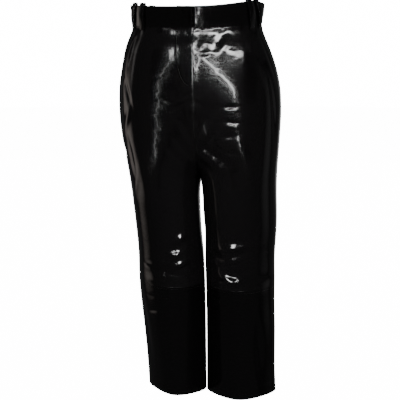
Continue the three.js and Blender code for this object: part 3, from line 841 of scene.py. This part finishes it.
# Materials


class Value:
    """A socket's number, so that a sum in a material reads as plain maths."""

    def __init__(self, recipe, socket):
        self.recipe = recipe
        self.socket = socket

    def maths(self, operation, first, second):
        sockets = {0: first, 1: second}
        return self.recipe.node("ShaderNodeMath", sockets, operation=operation)[0]

    def __add__(self, other):
        return self.maths("ADD", self, other)

    def __mul__(self, other):
        return self.maths("MULTIPLY", self, other)

    def __rsub__(self, other):
        return self.maths("SUBTRACT", other, self)

    __radd__ = __add__
    __rmul__ = __mul__


class Recipe:
    """A material or geometry tree that is built node by node."""

    def __init__(self, tree):
        self.tree = tree

    def node(self, kind, sockets=None, **settings):
        """Add a node with its settings, then its sockets' values or links, and give its outputs."""
        made = self.tree.nodes.new(kind)
        for name, value in settings.items():
            setattr(made, name, value)
        for name, value in (sockets or {}).items():
            if isinstance(value, Value):
                self.tree.links.new(value.socket, made.inputs[name])
            else:
                made.inputs[name].default_value = value
        return {
            **{i: Value(self, socket) for i, socket in enumerate(made.outputs)},
            **{socket.name: Value(self, socket) for socket in made.outputs if socket.enabled},
        }

    def place(self):
        return self.node("ShaderNodeTexCoord")["Object"]

    def noise(self, place, scale, detail):
        sockets = {"Vector": place, "Scale": scale, "Detail": detail}
        return self.node("ShaderNodeTexNoise", sockets)["Fac"]

    def bands(self, place, scale, way):
        sockets = {"Vector": place, "Scale": scale}
        return self.node("ShaderNodeTexWave", sockets, bands_direction=way)["Fac"]

    def mark(self, name):
        """What the mesh keeps under a name, from 0 to 1."""
        return self.node("ShaderNodeAttribute", attribute_name=name)["Fac"]

    def mixed(self, share, first, second):
        """A colour between two, where a share of 1 is the second."""
        sockets = {"Factor": share, 6: first, 7: second}
        return self.node("ShaderNodeMix", sockets, data_type="RGBA")["Result"]

    def bumped(self, height, strength, distance):
        sockets = {"Height": height, "Strength": strength, "Distance": distance}
        return self.node("ShaderNodeBump", sockets)["Normal"]

    def surface(self, sockets):
        shader = self.node("ShaderNodeBsdfPrincipled", sockets)["BSDF"]
        self.node("ShaderNodeOutputMaterial", {"Surface": shader})


def new_recipe(name):
    material = bpy.data.materials.new(name)
    material.use_nodes = True
    material.node_tree.nodes.clear()
    return material, Recipe(material.node_tree)


def grey(level, warmth=0.0):
    """A grey colour, with some red more and blue less where it is warm."""
    return (level * (1 + warmth), level, level * (1 - warmth), 1)


def patent_leather(name, colour, roughness):
    """Patent leather: black, glossy and finely crinkled outside, matt on its flesh side."""
    _, recipe = new_recipe(name)
    place = recipe.place()
    inside = recipe.mark("inside")
    edge = recipe.mark("edge")
    shine = 1 - inside
    sockets = {"Vector": place, "Scale": 210, "Smoothness": 0.6}
    cells = recipe.node("ShaderNodeTexVoronoi", sockets, feature="SMOOTH_F1")["Distance"]
    wrinkles = recipe.noise(place, scale=150, detail=3)
    pores = recipe.noise(place, scale=1300, detail=2)
    smears = recipe.noise(place, scale=22, detail=3)
    height = (cells * 0.5 + wrinkles * 0.9) * shine + pores * (0.06 + inside * 0.7)
    worn = recipe.mixed(edge * 0.1, (*colour, 1), grey(0.02))
    recipe.surface(
        {
            "Base Color": recipe.mixed(inside, worn, grey(0.022, 0.05)),
            "Roughness": (smears * 0.07 + roughness) * shine + inside * 0.72 + edge * 0.05,
            "IOR": 1.5,
            "Coat Weight": shine * 0.6,
            "Coat Roughness": 0.05,
            "Normal": recipe.bumped(height, strength=0.22, distance=0.0005),
        }
    )


def woven(name, colour, scale):
    """Closely woven cloth with a slight sheen."""
    _, recipe = new_recipe(name)
    place = recipe.place()
    warp = recipe.bands(place, scale, way="X")
    weft = recipe.bands(place, scale, way="Z")
    fuzz = recipe.noise(place, scale=900, detail=2)
    height = warp * weft + fuzz * 0.3
    lighter = tuple(1.8 * channel for channel in colour)
    recipe.surface(
        {
            "Base Color": recipe.mixed(warp * 0.5 + fuzz * 0.3, (*colour, 1), (*lighter, 1)),
            "Roughness": 0.85,
            "Sheen Weight": 0.2,
            "Normal": recipe.bumped(height, strength=0.5, distance=0.0002),
        }
    )


def thread(name, colour):
    """Twisted sewing thread."""
    _, recipe = new_recipe(name)
    twist = recipe.bands(recipe.place(), scale=600, way="DIAGONAL")
    recipe.surface(
        {
            "Base Color": recipe.mixed(twist, (*colour, 1), grey(0.03)),
            "Roughness": 0.5,
            "Sheen Weight": 0.1,
            "Normal": recipe.bumped(twist, strength=0.4, distance=0.0001),
        }
    )


def nickel(name, colour):
    """Plain nickelled metal with fine brushing and small scratches."""
    _, recipe = new_recipe(name)
    place = recipe.place()
    sockets = {"Vector": place, "Scale": (1, 1, 0.12)}
    stretched = recipe.node("ShaderNodeMapping", sockets)["Vector"]
    brushing = recipe.noise(stretched, scale=2600, detail=3)
    tarnish = recipe.noise(place, scale=160, detail=3)
    recipe.surface(
        {
            "Base Color": recipe.mixed(tarnish, (*colour, 1), grey(0.3)),
            "Metallic": 1.0,
            "Roughness": tarnish * 0.16 + 0.18,
            "Normal": recipe.bumped(brushing, strength=0.15, distance=0.0001),
        }
    )


def materials():
    """All materials, after the finishes are made at the first call."""
    if "patent_leather" not in bpy.data.materials:
        colours = bpy.context.scene.trousers_colours
        patent_leather("patent_leather", colours.leather, roughness=0.1)
        patent_leather("patent_band", colours.leather, roughness=0.12)
        woven("pocketing", colours.pocketing, scale=800)
        woven("zip_cloth", colours.zip_cloth, scale=600)
        thread("thread", colours.thread)
        nickel("nickel", colours.metal)
    return bpy.data.materials


# Panels


def panel_grid(half, span, top, bottom):
    """Angles and levels of a panel's grid, crowded beside all four edges."""
    levels = top - panel_places(top - bottom)
    start, stop = span(half, levels)
    middle = len(levels) // 2
    turns = np.linspace(start[middle], stop[middle], 40)
    width = (stop - start)[middle] * float(np.mean(half.arc(turns, levels[middle])))
    return grid(start, stop, levels, panel_places(width) / width)


def leg_panel(half, front, upper):
    """One leather panel of a leg, as a wall with soft folds, fine creases and rounded edges."""
    top = -SEWN_GAP / 2 if upper else KNEE_LEVEL - SEWN_GAP / 2
    bottom = KNEE_LEVEL + SEWN_GAP / 2 if upper else HEM_LEVEL
    span = front_span if front else back_span
    angle, level = panel_grid(half, span, top, bottom)
    points, normal = half.cloth(angle, level)
    from_edge = edge_distance(points, top, bottom, level, LEVEL_SEAM_SHARP)
    height = relief(half, front, points, level, edge_distance(points, top, bottom, level))
    if front:
        height = height + pocket_lift(half, angle, level) + lap_swell(half, points[..., 0], level)
        if half is LEFT:
            along = smooth_step(-FLY_LENGTH - TUCK_FADE, -FLY_LENGTH, level)
            height = height - FLY_TUCK * tuck_share(points[..., 0], level) * along
    hem = smooth_step(HEM_STEP, -HEM_STEP, level - (HEM_LEVEL + HEM_TURN_UP))
    thick = LEATHER * (1 + hem)
    height = height + HEM_SWELL * hem
    turned = rounding(from_edge, thick / 2)
    place = f"{'front' if front else 'back'}_{half.name}_{'upper' if upper else 'lower'}"
    heights = (height, height - thick)
    piece = wall(f"leather_{place}", points, normal, heights, turned, half.sign)
    mark_edges(piece, from_edge)
    return piece, place


class TROUSERS_OT_panels(bpy.types.Operator):
    """Cut the eight leather panels of the legs and shape them as worn"""

    bl_idname = "trousers.panels"
    bl_label = "Leg panels"

    def execute(self, context):
        lit_by = bpy.data.collections
        for half in HALVES.values():
            for front in (True, False):
                for upper in (True, False):
                    piece, place = leg_panel(half, front, upper)
                    if front:
                        lit_by["lit_by_strips"].objects.link(piece)
                    if front and upper:
                        lit_by[f"lit_by_knee_{half.name}"].objects.link(piece)
                    finish(piece, "patent_leather", place)
        return {"FINISHED"}


# Waistband


def band_surface(half, angle, level):
    """The band's surface, whose left half passes under the lap."""
    points, normal = half.cloth(angle, level)
    if half is LEFT:
        tuck = BAND_TUCK * tuck_share(points[..., 0], level) * (angle < 0)
        points = points - normal * tuck[..., None]
    return points, normal


class TROUSERS_OT_waistband(bpy.types.Operator):
    """Make the doubled waistband in two halves, lapped at the front"""

    bl_idname = "trousers.waistband"
    bl_label = "Waistband"

    def execute(self, context):
        levels = BAND_DEPTH - panel_places(BAND_DEPTH - SEWN_GAP / 2)
        for half in HALVES.values():
            stop = end_angle(levels) - end_gap(half, levels)
            start = -stop
            if half is LEFT:
                start = half.front_angle(half.inner(levels) - UNDERLAP, levels)
            width = float((stop - start)[0] * BAND_RADIUS)
            angle, level = grid(start, stop, levels, panel_places(width) / width)
            points, normal = band_surface(half, angle, level)
            from_edge = edge_distance(points, BAND_DEPTH, SEWN_GAP / 2, level)
            height = BAND_PROUD + crinkle(points, from_edge) * unevenness(points, level)
            if half is RIGHT:
                height = height + lap_swell(half, points[..., 0], level) * (angle < 0)
            turned = rounding(from_edge, BAND_THICK / 2)
            name = f"band_{half.name}"
            heights = (height, BAND_PROUD - BAND_THICK)
            piece = wall(name, points, normal, heights, turned, half.sign)
            if half is LEFT:
                bpy.data.collections["lit_by_lap"].objects.link(piece)
            mark_edges(piece, from_edge)
            finish(piece, "patent_band", f"waist{name}")
        return {"FINISHED"}


# Fly and zip


def behind_fly(name, across, bottom, outer_depth, thick, columns=14, rows=70):
    """A strip behind the right front, between two places across from the middle line."""
    levels = np.linspace(FLY_TOP, bottom, rows)
    shares = np.linspace(0, 1, columns)
    level = np.broadcast_to(levels[:, None], (rows, columns))
    places = RIGHT.inner(levels)[:, None] + across[0] + (across[1] - across[0]) * shares[None, :]
    angle = RIGHT.front_angle(places, level)
    points, normal = RIGHT.cloth(angle, level)
    from_edge = edge_distance(points, FLY_TOP, bottom, level)
    turned = rounding(from_edge, thick / 2)
    heights = (outer_depth, outer_depth - thick)
    piece = wall(name, points, normal, heights, turned, RIGHT.sign, inside=False)
    mark_edges(piece, from_edge)
    return piece


def row_tree(name, shape):
    """A tree that sets one small shape again and again along a line."""
    tree = bpy.data.node_groups.new(name, "GeometryNodeTree")
    recipe = Recipe(tree)
    face = tree.interface
    face.new_socket("Line", in_out="INPUT", socket_type="NodeSocketGeometry")
    for label in ("Pitch", "Length", "Width", "Height"):
        face.new_socket(label, in_out="INPUT", socket_type="NodeSocketFloat")
    face.new_socket("Finish", in_out="INPUT", socket_type="NodeSocketMaterial")
    face.new_socket("Row", in_out="OUTPUT", socket_type="NodeSocketGeometry")
    given = recipe.node("NodeGroupInput")
    curve = recipe.node("GeometryNodeMeshToCurve", {"Mesh": given["Line"]})["Curve"]
    sockets = {"Curve": curve, "Length": given["Pitch"]}
    spaced = recipe.node("GeometryNodeResampleCurve", sockets, mode="LENGTH")["Curve"]
    named = "GeometryNodeInputNamedAttribute"
    lay = recipe.node(named, {"Name": "lay"}, data_type="FLOAT_VECTOR")["Attribute"]
    tangent = recipe.node("GeometryNodeInputTangent")["Tangent"]
    align = "FunctionNodeAlignRotationToVector"
    along = recipe.node(align, {"Vector": tangent}, axis="X")["Rotation"]
    sockets = {"Rotation": along, "Vector": lay}
    turned = recipe.node(align, sockets, axis="Z", pivot_axis="X")["Rotation"]
    sockets = {"X": given["Length"], "Y": given["Width"], "Z": given["Height"]}
    size = recipe.node("ShaderNodeCombineXYZ", sockets)["Vector"]
    if shape == "stitch":
        sockets = {"Segments": 6, "Rings": 4, "Radius": 0.5}
        small = recipe.node("GeometryNodeMeshUVSphere", sockets)["Mesh"]
    else:
        small = recipe.node("GeometryNodeMeshCube", {"Size": (1, 1, 1)})["Mesh"]
    sockets = {"Points": spaced, "Instance": small, "Rotation": turned, "Scale": size}
    placed = recipe.node("GeometryNodeInstanceOnPoints", sockets)["Instances"]
    real = recipe.node("GeometryNodeRealizeInstances", {"Geometry": placed})["Geometry"]
    sockets = {"Geometry": real, "Material": given["Finish"]}
    shaded = recipe.node("GeometryNodeSetMaterial", sockets)["Geometry"]
    recipe.node("NodeGroupOutput", {"Row": shaded})
    return tree


def row_along(name, lines, tree, sizes, material):
    """A plain mesh of small shapes along one or more lines of points with outward directions."""
    mesh = bpy.data.meshes.new(f"{name}_line")
    points = np.concatenate([line[0] for line in lines]) * MM
    edges = []
    start = 0
    for line, _ in lines:
        edges += [(start + i, start + i + 1) for i in range(len(line) - 1)]
        start += len(line)
    mesh.from_pydata(points.tolist(), edges, [])
    lay = mesh.attributes.new("lay", "FLOAT_VECTOR", "POINT")
    lay.data.foreach_set("vector", np.concatenate([line[1] for line in lines]).ravel())
    carrier = bpy.data.objects.new(f"{name}_line", mesh)
    bpy.context.scene.collection.objects.link(carrier)
    modifier = carrier.modifiers.new("row", "NODES")
    modifier.node_group = tree
    values = {**sizes, "Finish": material}
    for socket in tree.interface.items_tree:
        if socket.in_out == "INPUT" and socket.name in values:
            modifier[socket.identifier] = values[socket.name]
    bpy.context.view_layer.update()
    evaluated = carrier.evaluated_get(bpy.context.evaluated_depsgraph_get())
    made = bpy.data.meshes.new_from_object(evaluated)
    made.name = name
    bpy.data.objects.remove(carrier)
    piece = bpy.data.objects.new(name, made)
    bpy.context.scene.collection.objects.link(piece)
    if not made.vertices:
        raise RuntimeError(f"{name} came out empty")
    return piece


def surface_line(half, across, level, off):
    """Points over a half's front at given places across, and their outward directions."""
    angle = half.front_angle(across, level)
    points, normal = half.cloth(angle, level)
    return points + normal * off, normal


class TROUSERS_OT_fly(bpy.types.Operator):
    """Make the zip and the shield behind it, and plate the metal pieces"""

    bl_idname = "trousers.fly"
    bl_label = "Fly and zip"

    def execute(self, context):
        nickel_finish = materials()["nickel"]
        tape_outer = -LEATHER - BEHIND_GAP
        teeth_outer = tape_outer - ZIP_CLOTH - SEAM_GAP
        shield_outer = teeth_outer - ZIP_TEETH_THICK - 2 * SEAM_GAP
        tape = (-TAPE_BEHIND_EDGE, -TAPE_BEHIND_EDGE - ZIP_TAPE_WIDTH)
        tapes = behind_fly("zip_tape_cloth", tape, -FLY_LENGTH, tape_outer, ZIP_CLOTH)
        finish(tapes, "zip_cloth", "zip_tapes")
        place = (SHIELD_PAST_MIDDLE, -UNDERLAP)
        low = -FLY_LENGTH - SHIELD_PAST_FLY
        shield = behind_fly("shield_leather", place, low, shield_outer, LEATHER, 24)
        finish(shield, "patent_leather", "fly_shield")
        tooth = row_tree("zip_tooth_row", "tooth")
        highest = ZIP_SLIDER_TOP - ZIP_SLIDER_LENGTH - ZIP_TEETH_MARGIN
        levels = np.linspace(highest, -FLY_LENGTH + ZIP_TEETH_MARGIN, 80)
        middle = sum(tape) / 2
        off = teeth_outer - ZIP_TEETH_THICK / 2
        lines = []
        for side in (-1, 1):
            across = RIGHT.inner(levels) + middle + side * ZIP_TEETH_WIDTH / 6
            lines.append(surface_line(RIGHT, across, levels - side * TOOTH_STAGGER, off))
        sizes = {
            "Pitch": TOOTH_PITCH * MM,
            "Length": TOOTH_LENGTH * MM,
            "Width": TOOTH_WIDTH * MM,
            "Height": ZIP_TEETH_THICK * MM,
        }
        teeth = row_along("zip_tooth_rows", lines, tooth, sizes, nickel_finish)
        hand_over(teeth, "zip_teeth")
        for node in ("zip_slider", "zip_pull", "waist_hook"):
            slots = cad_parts[node].data.materials
            slots.clear()
            slots.append(nickel_finish)
        return {"FINISHED"}


# Pocket bags


class TROUSERS_OT_pockets(bpy.types.Operator):
    """Make the two pocket bags that hang inside the side seams"""

    bl_idname = "trousers.pockets"
    bl_label = "Pocket bags"

    def execute(self, context):
        for half in HALVES.values():
            levels = np.linspace(POCKET_BAG_TOP, POCKET_BAG_BOTTOM, 90)
            start, stop = front_span(half, levels)
            below = np.clip((POCKET_BOTTOM - levels) / (POCKET_BOTTOM - POCKET_BAG_BOTTOM), 0, 1)
            rounded = 1 - POCKET_BAG_ROUNDING * below**POCKET_BAG_ROUNDING_POWER
            shares = np.linspace(0, 1, 46)
            reach = (stop - start) * (1 - POCKET_BAG_REACH) * rounded
            angle = stop[:, None] - reach[:, None] * (1 - shares[None, :])
            level = np.broadcast_to(levels[:, None], angle.shape)
            points, normal = half.cloth(angle, level)
            lift = pocket_lift(half, angle, level)
            from_edge = edge_distance(points, levels[0], levels[-1], level)
            turned = rounding(from_edge, POCKET_BAG_THICK / 2)
            wave = POCKET_BAG_WAVE_HEIGHT * NOISE(points, POCKET_BAG_WAVE) - POCKET_BAG_WAVE_HEIGHT
            depth = lift - LEATHER - SEAM_GAP + np.minimum(wave, 0)
            name = f"pocketing_{half.name}"
            heights = (depth, depth - POCKET_BAG_THICK)
            piece = wall(name, points, normal, heights, turned, half.sign, inside=False)
            finish(piece, "pocketing", f"pocket_bag_{half.name}")
        return {"FINISHED"}


# Belt loops


def loop_line(rise):
    """A loop's line: sewn below the waist seam, up over the band's edge and down behind it."""
    lies = LOOP_THICK / 2 + SEAM_GAP
    front = BAND_PROUD + lies
    behind = BAND_PROUD - BAND_THICK - lies - SEAM_GAP
    return np.array(
        [
            (-LOOP_HANG, lies + SEAM_GAP),
            (-LOOP_HANG / 3, front + 2 * SEAM_GAP),
            (BAND_DEPTH * 0.2, front + LOOP_STAND_OFF * 0.75),
            (BAND_DEPTH * 0.5, front + LOOP_STAND_OFF),
            (BAND_DEPTH * 0.82, front + LOOP_STAND_OFF * 0.7),
            (BAND_DEPTH + rise * 0.4, front + LOOP_STAND_OFF * 0.15),
            (BAND_DEPTH + rise * 0.85, (front * 3 + behind) / 4),
            (BAND_DEPTH + rise * 0.85, (front + behind * 3) / 4),
            (BAND_DEPTH + rise * 0.2, behind),
            (BAND_DEPTH - LOOP_TUCK, behind),
        ]
    )


def smooth_line(points, count):
    """Even places of a smooth line through a few points."""
    run = np.concatenate([[0], np.cumsum(np.linalg.norm(np.diff(points, axis=0), axis=1))])
    at = np.linspace(0, run[-1], count)
    columns = [Curve({"run": run, "value": column}, "value", "run")(at) for column in points.T]
    return np.stack(columns, axis=-1)


def loop_frame(half, top, low, line):
    """The angle along a loop and its unit of angle for each millimetre of width."""
    share = np.clip(line[:, 0] / BAND_DEPTH, 0, 1)
    angle = (low + (top - low) * share) * DEGREE
    return angle, 1 / half.arc(angle, line[:, 0])


def loop_surface(half, top, low, line, skin, places):
    """Points of a loop at some places across its width, offset from its middle by a skin."""
    run = np.gradient(line, axis=0)
    run = run / np.linalg.norm(run, axis=1, keepdims=True)
    angle, unit = loop_frame(half, top, low, line)
    skin = np.broadcast_to(skin, (len(line), len(places)))
    level = line[:, 0:1] - run[:, 1:2] * skin
    off = line[:, 1:2] + run[:, 0:1] * skin
    turn = angle[:, None] + unit[:, None] * places[None, :]
    points, normal = half.cloth(turn, level)
    return points + normal * off[..., None], normal


class TROUSERS_OT_loops(bpy.types.Operator):
    """Make the seven belt loops from folded leather strips"""

    bl_idname = "trousers.loops"
    bl_label = "Belt loops"

    def execute(self, context):
        places = crowded(LOOP_WIDTH, STRIP_EDGE, STRIP_EDGE_ZONE, 4) - LOOP_WIDTH / 2
        for name, (side, top, low, rise) in LOOPS.items():
            half = HALVES[side]
            line = smooth_line(loop_line(rise), LOOP_POINTS)
            turned = rounding(LOOP_WIDTH / 2 - np.abs(places), LOOP_THICK / 2)
            outer, _ = loop_surface(half, top, low, line, LOOP_THICK / 2 - turned, places)
            inner, _ = loop_surface(half, top, low, line, turned - LOOP_THICK / 2, places)
            piece = wall_mesh(f"strap_{name}", outer, inner, -half.sign, inside=False)
            finish(piece, "patent_band", name)
        return {"FINISHED"}


# Stitches


class TROUSERS_OT_stitches(bpy.types.Operator):
    """Sew the rows of stitches that show: fly, knees and belt loops"""

    bl_idname = "trousers.stitches"
    bl_label = "Stitches"

    def execute(self, context):
        pitch = context.scene.trousers_sizes.stitch_pitch
        across, level = path_points(FLY_STITCHES).T
        lines = [surface_line(RIGHT, across, level, -STITCH_SINK_FLY)]
        share = np.linspace(0.01, 0.99, 160)
        level = np.full(160, KNEE_LEVEL - STITCH_BELOW_KNEE, float)
        for half in HALVES.values():
            for span in (front_span, back_span):
                start, stop = span(half, level)
                points, normal = half.cloth(start + (stop - start) * share, level)
                lines.append((points - normal * STITCH_SINK_KNEE, normal))
        inset = LOOP_WIDTH / 2 - STITCH_INSET_LOOP
        skin = LOOP_THICK / 2 + STITCH_LIFT_LOOP
        for side, top, low, rise in LOOPS.values():
            line = smooth_line(loop_line(rise), LOOP_POINTS)[:LOOP_POINTS_OUTSIDE]
            for place in (-inset, inset):
                points, normal = loop_surface(HALVES[side], top, low, line, skin, np.array([place]))
                lines.append((points[:, 0], normal[:, 0]))
        sizes = {
            "Pitch": pitch,
            "Length": pitch * STITCH_SHARE,
            "Width": STITCH_WIDTH * MM,
            "Height": STITCH_HEIGHT * MM,
        }
        tree = row_tree("stitch_row", "stitch")
        piece = row_along("stitch_rows", lines, tree, sizes, materials()["thread"])
        piece.data.shade_smooth()
        hand_over(piece)
        return {"FINISHED"}


# Stage


AIM = Vector((0, 0, -0.15))
LAMP_DISTANCE = 5


def direction(azimuth, elevation):
    """A direction from the hips: azimuth from the front towards +X, elevation up."""
    turn, rise = math.radians(azimuth), math.radians(elevation)
    level = math.cos(rise)
    return Vector((math.sin(turn) * level, -math.cos(turn) * level, math.sin(rise)))


def lamp_mesh(name, points, faces, material, only):
    """A glowing sheet that the leather mirrors and the camera doesn't see.

    It lights everything, or only the pieces that are put in a collection.
    """
    mesh = bpy.data.meshes.new(name)
    mesh.from_pydata([tuple(point) for point in points], [], faces)
    mesh.materials.append(material)
    lamp = bpy.data.objects.new(name, mesh)
    lamp.visible_camera = False
    bpy.context.scene.collection.objects.link(lamp)
    if only:
        lit = bpy.data.collections.get(only) or bpy.data.collections.new(only)
        lamp.light_linking.receiver_collection = lit
    return lamp


def glowing(name, radiance, colour, fading):
    """Even light, or light that fades from the middle of a square from -1 to 1 to its edges."""
    material, recipe = new_recipe(name)
    shown = (*colour, 1)
    if fading:
        at = recipe.node("ShaderNodeSeparateXYZ", {"Vector": recipe.place()})
        share = (1 - at["X"] * at["X"]) * (1 - at["Y"] * at["Y"])
        shown = recipe.mixed(share, grey(0), shown)
    sockets = {"Color": shown, "Strength": radiance}
    shader = recipe.node("ShaderNodeEmission", sockets)["Emission"]
    recipe.node("ShaderNodeOutputMaterial", {"Surface": shader})
    return material


def softbox(name, azimuth, elevation, half_width, half_height, radiance, colour, only):
    """A flat studio light that faces the hips."""
    away = direction(azimuth, elevation)
    corners = [(-1, -1, 0), (1, -1, 0), (1, 1, 0), (-1, 1, 0)]
    glow = glowing(f"{name}_glow", radiance, colour, True)
    lamp = lamp_mesh(name, corners, [(0, 1, 2, 3)], glow, only)
    lamp.location = AIM + away * LAMP_DISTANCE
    lamp.rotation_euler = away.to_track_quat("Z", "Y").to_euler()
    spread = (half_width, half_height)
    wide, high = (LAMP_DISTANCE * math.tan(math.radians(half)) for half in spread)
    lamp.scale = (wide, high, 1)


def strip_light(name, path, width, radiance, only):
    """A thin bent tube of light through some directions, which leather mirrors as a fine line."""
    turns = smooth_line(np.array(path, float), 60)
    middle = [direction(*turn) for turn in turns]
    points = []
    for i, away in enumerate(middle):
        run = middle[min(i + 1, len(middle) - 1)] - middle[max(i - 1, 0)]
        side = away.cross(run).normalized() * math.radians(width) / 2
        points += [AIM + (away + side) * LAMP_DISTANCE, AIM + (away - side) * LAMP_DISTANCE]
    faces = [(2 * i, 2 * i + 1, 2 * i + 3, 2 * i + 2) for i in range(len(middle) - 1)]
    lamp_mesh(name, points, faces, glowing(f"{name}_glow", radiance, WHITE, False), only)


# Softboxes: azimuth, elevation, half width and half height in degrees, radiance, colour, and the
# collection of the pieces that a lamp lights where it doesn't light all.
WHITE = (1, 1, 1)
SOFTBOXES = (
    ("key", 13, 17.8, 16, 3.6, 28, WHITE, None),
    ("left_key", -17.5, 15, 0.9, 5, 20, WHITE, "lit_by_strips"),
    ("left", -95, -8, 20, 19, 0.9, (1, 0.9, 0.84), None),
    ("side", -76, 14, 5, 17, 0.7, (1, 0.96, 0.93), None),
    ("top", 0, 82, 20, 20, 1.2, WHITE, None),
    ("rear", 176, 42, 20, 11, 16, WHITE, None),
    ("rear_low", 182, -12, 30, 14, 0.6, WHITE, None),
    ("right", 98, -6, 20, 22, 0.13, WHITE, None),
)
LOW_SOFTBOXES = (
    ("lap", -8.5, -11.5, 2.2, 6, 34, WHITE, "lit_by_lap"),
    ("knee_left", -23, 9, 11, 9, 26, WHITE, "lit_by_knee_left"),
    ("knee_right", 40, 9, 11, 9, 26, WHITE, "lit_by_knee_right"),
)

# Bent tubes of light: azimuth and elevation of their points, width in degrees and radiance.
LEFT_PATH = (
    (-17.5, 10.5),
    (-21, 7.5),
    (-25, 4.5),
    (-26.5, 1),
    (-26, -3),
    (-24, -6),
    (-20, -9),
)
RIGHT_PATH = (
    (-3, 12.5),
    (1, 10),
    (6, 8),
    (10, 6.5),
    (14, 4.3),
    (17, 2),
    (17.5, -0.5),
)
STRIPS = (
    ("left_strip", LEFT_PATH, 0.4, 7, "lit_by_strips"),
    ("right_strip", RIGHT_PATH, 0.9, 30, "lit_by_strips"),
)

CAMERA_PLACE = (0.2569, -2.3869, 0.045)
CAMERA_TURN = (90 - 10.46, 0, 6)
CAMERA_LENS = 95.67
FLOOR_DROP = 0.18
FLOOR_RADIUS = 9
FLOOR_CORNERS = 96
FLOOR_GLOW = 15.0
BACKDROP = 16
STUDIO_DARK = 0.03


def add_camera(scene):
    camera = bpy.data.objects.new("camera", bpy.data.cameras.new("camera"))
    camera.location = CAMERA_PLACE
    camera.rotation_euler = [math.radians(turn) for turn in CAMERA_TURN]
    camera.data.lens = CAMERA_LENS
    scene.collection.objects.link(camera)
    scene.camera = camera


def add_floor(scene):
    """A round pale floor, which the leather doesn't mirror."""
    turns = np.linspace(0, 2 * math.pi, FLOOR_CORNERS, endpoint=False)
    low = CAD_BOX[0][2] - FLOOR_DROP
    ring = [(math.cos(t) * FLOOR_RADIUS, math.sin(t) * FLOOR_RADIUS, low) for t in turns]
    mesh = bpy.data.meshes.new("floor")
    mesh.from_pydata(ring, [], [tuple(range(FLOOR_CORNERS))])
    floor = bpy.data.objects.new("floor", mesh)
    scene.collection.objects.link(floor)
    material, recipe = new_recipe("pale_floor")
    recipe.surface(
        {
            "Base Color": grey(0.9),
            "Roughness": 0.8,
            "Emission Color": grey(1),
            "Emission Strength": FLOOR_GLOW,
        }
    )
    mesh.materials.append(material)
    floor.visible_glossy = False
    floor.visible_diffuse = False


def add_backdrop(scene):
    """A white ground for the camera, and a dark studio for the leather to mirror."""
    world = bpy.data.worlds.new("studio")
    world.use_nodes = True
    world.node_tree.nodes.clear()
    recipe = Recipe(world.node_tree)
    seen = recipe.node("ShaderNodeLightPath")["Is Camera Ray"]
    colour = recipe.mixed(seen, grey(STUDIO_DARK), grey(BACKDROP))
    sockets = {"Color": colour, "Strength": 1.0}
    background = recipe.node("ShaderNodeBackground", sockets)["Background"]
    recipe.node("ShaderNodeOutputWorld", {"Surface": background})
    scene.world = world


class TROUSERS_OT_stage(bpy.types.Operator):
    """Set the camera, the pale floor and the soft studio lights"""

    bl_idname = "trousers.stage"
    bl_label = "Studio"

    def execute(self, context):
        add_camera(context.scene)
        add_floor(context.scene)
        add_backdrop(context.scene)
        for lamp in SOFTBOXES:
            softbox(*lamp)
        for lamp in STRIPS:
            strip_light(*lamp)
        for lamp in LOW_SOFTBOXES:
            softbox(*lamp)
        return {"FINISHED"}


# Sizes and colours that a user would change


class TrousersSizes(bpy.types.PropertyGroup):
    spacing: FloatProperty(
        name="Mesh spacing",
        description="Distance between the points of a panel",
        default=0.0024,
        unit="LENGTH",
    )
    crease_depth: FloatProperty(
        name="Crease depth", description="Share of the fine creases' depth", default=1.0
    )
    crinkle_depth: FloatProperty(
        name="Crinkle depth", description="Share of the leather's small unevenness", default=0.15
    )
    stitch_pitch: FloatProperty(
        name="Stitch pitch",
        description="Distance from one stitch to the next",
        default=0.0036,
        unit="LENGTH",
    )


def colour_property(label, description, default):
    return FloatVectorProperty(
        name=label, description=description, default=default, subtype="COLOR", min=0, max=1
    )


class TrousersColours(bpy.types.PropertyGroup):
    leather: colour_property("Leather", "Colour of the patent leather", (0.006, 0.0055, 0.006))
    zip_cloth: colour_property("Zip tape", "Colour of the zip's tape", (0.012, 0.012, 0.013))
    pocketing: colour_property("Pocketing", "Colour of the pocket bags", (0.014, 0.013, 0.014))
    thread: colour_property("Thread", "Colour of the stitches", (0.008, 0.008, 0.008))
    metal: colour_property("Metal", "Colour of the zip's metal and the hook", (0.5, 0.49, 0.48))


OPERATORS = (
    TROUSERS_OT_stage,
    TROUSERS_OT_panels,
    TROUSERS_OT_waistband,
    TROUSERS_OT_fly,
    TROUSERS_OT_pockets,
    TROUSERS_OT_loops,
    TROUSERS_OT_stitches,
)


class TROUSERS_PT_panel(bpy.types.Panel):
    bl_label = "Leather trousers"
    bl_idname = "TROUSERS_PT_panel"
    bl_space_type = "VIEW_3D"
    bl_region_type = "UI"
    bl_category = "Trousers"

    def draw(self, context):
        for group in (context.scene.trousers_sizes, context.scene.trousers_colours):
            for name in group.__annotations__:
                self.layout.prop(group, name)
        for operator in OPERATORS:
            self.layout.operator(operator.bl_idname)


CLASSES = (TrousersSizes, TrousersColours, *OPERATORS, TROUSERS_PT_panel)


def register():
    for item in CLASSES:
        bpy.utils.register_class(item)
    bpy.types.Scene.trousers_sizes = PointerProperty(type=TrousersSizes)
    bpy.types.Scene.trousers_colours = PointerProperty(type=TrousersColours)


def unregister():
    del bpy.types.Scene.trousers_colours
    del bpy.types.Scene.trousers_sizes
    for item in reversed(CLASSES):
        bpy.utils.unregister_class(item)


def main():
    register()
    for operator in OPERATORS:
        getattr(bpy.ops.trousers, operator.bl_idname.split(".")[1])()
    bpy.context.view_layer.update()


if __name__ == "__main__":
    main()
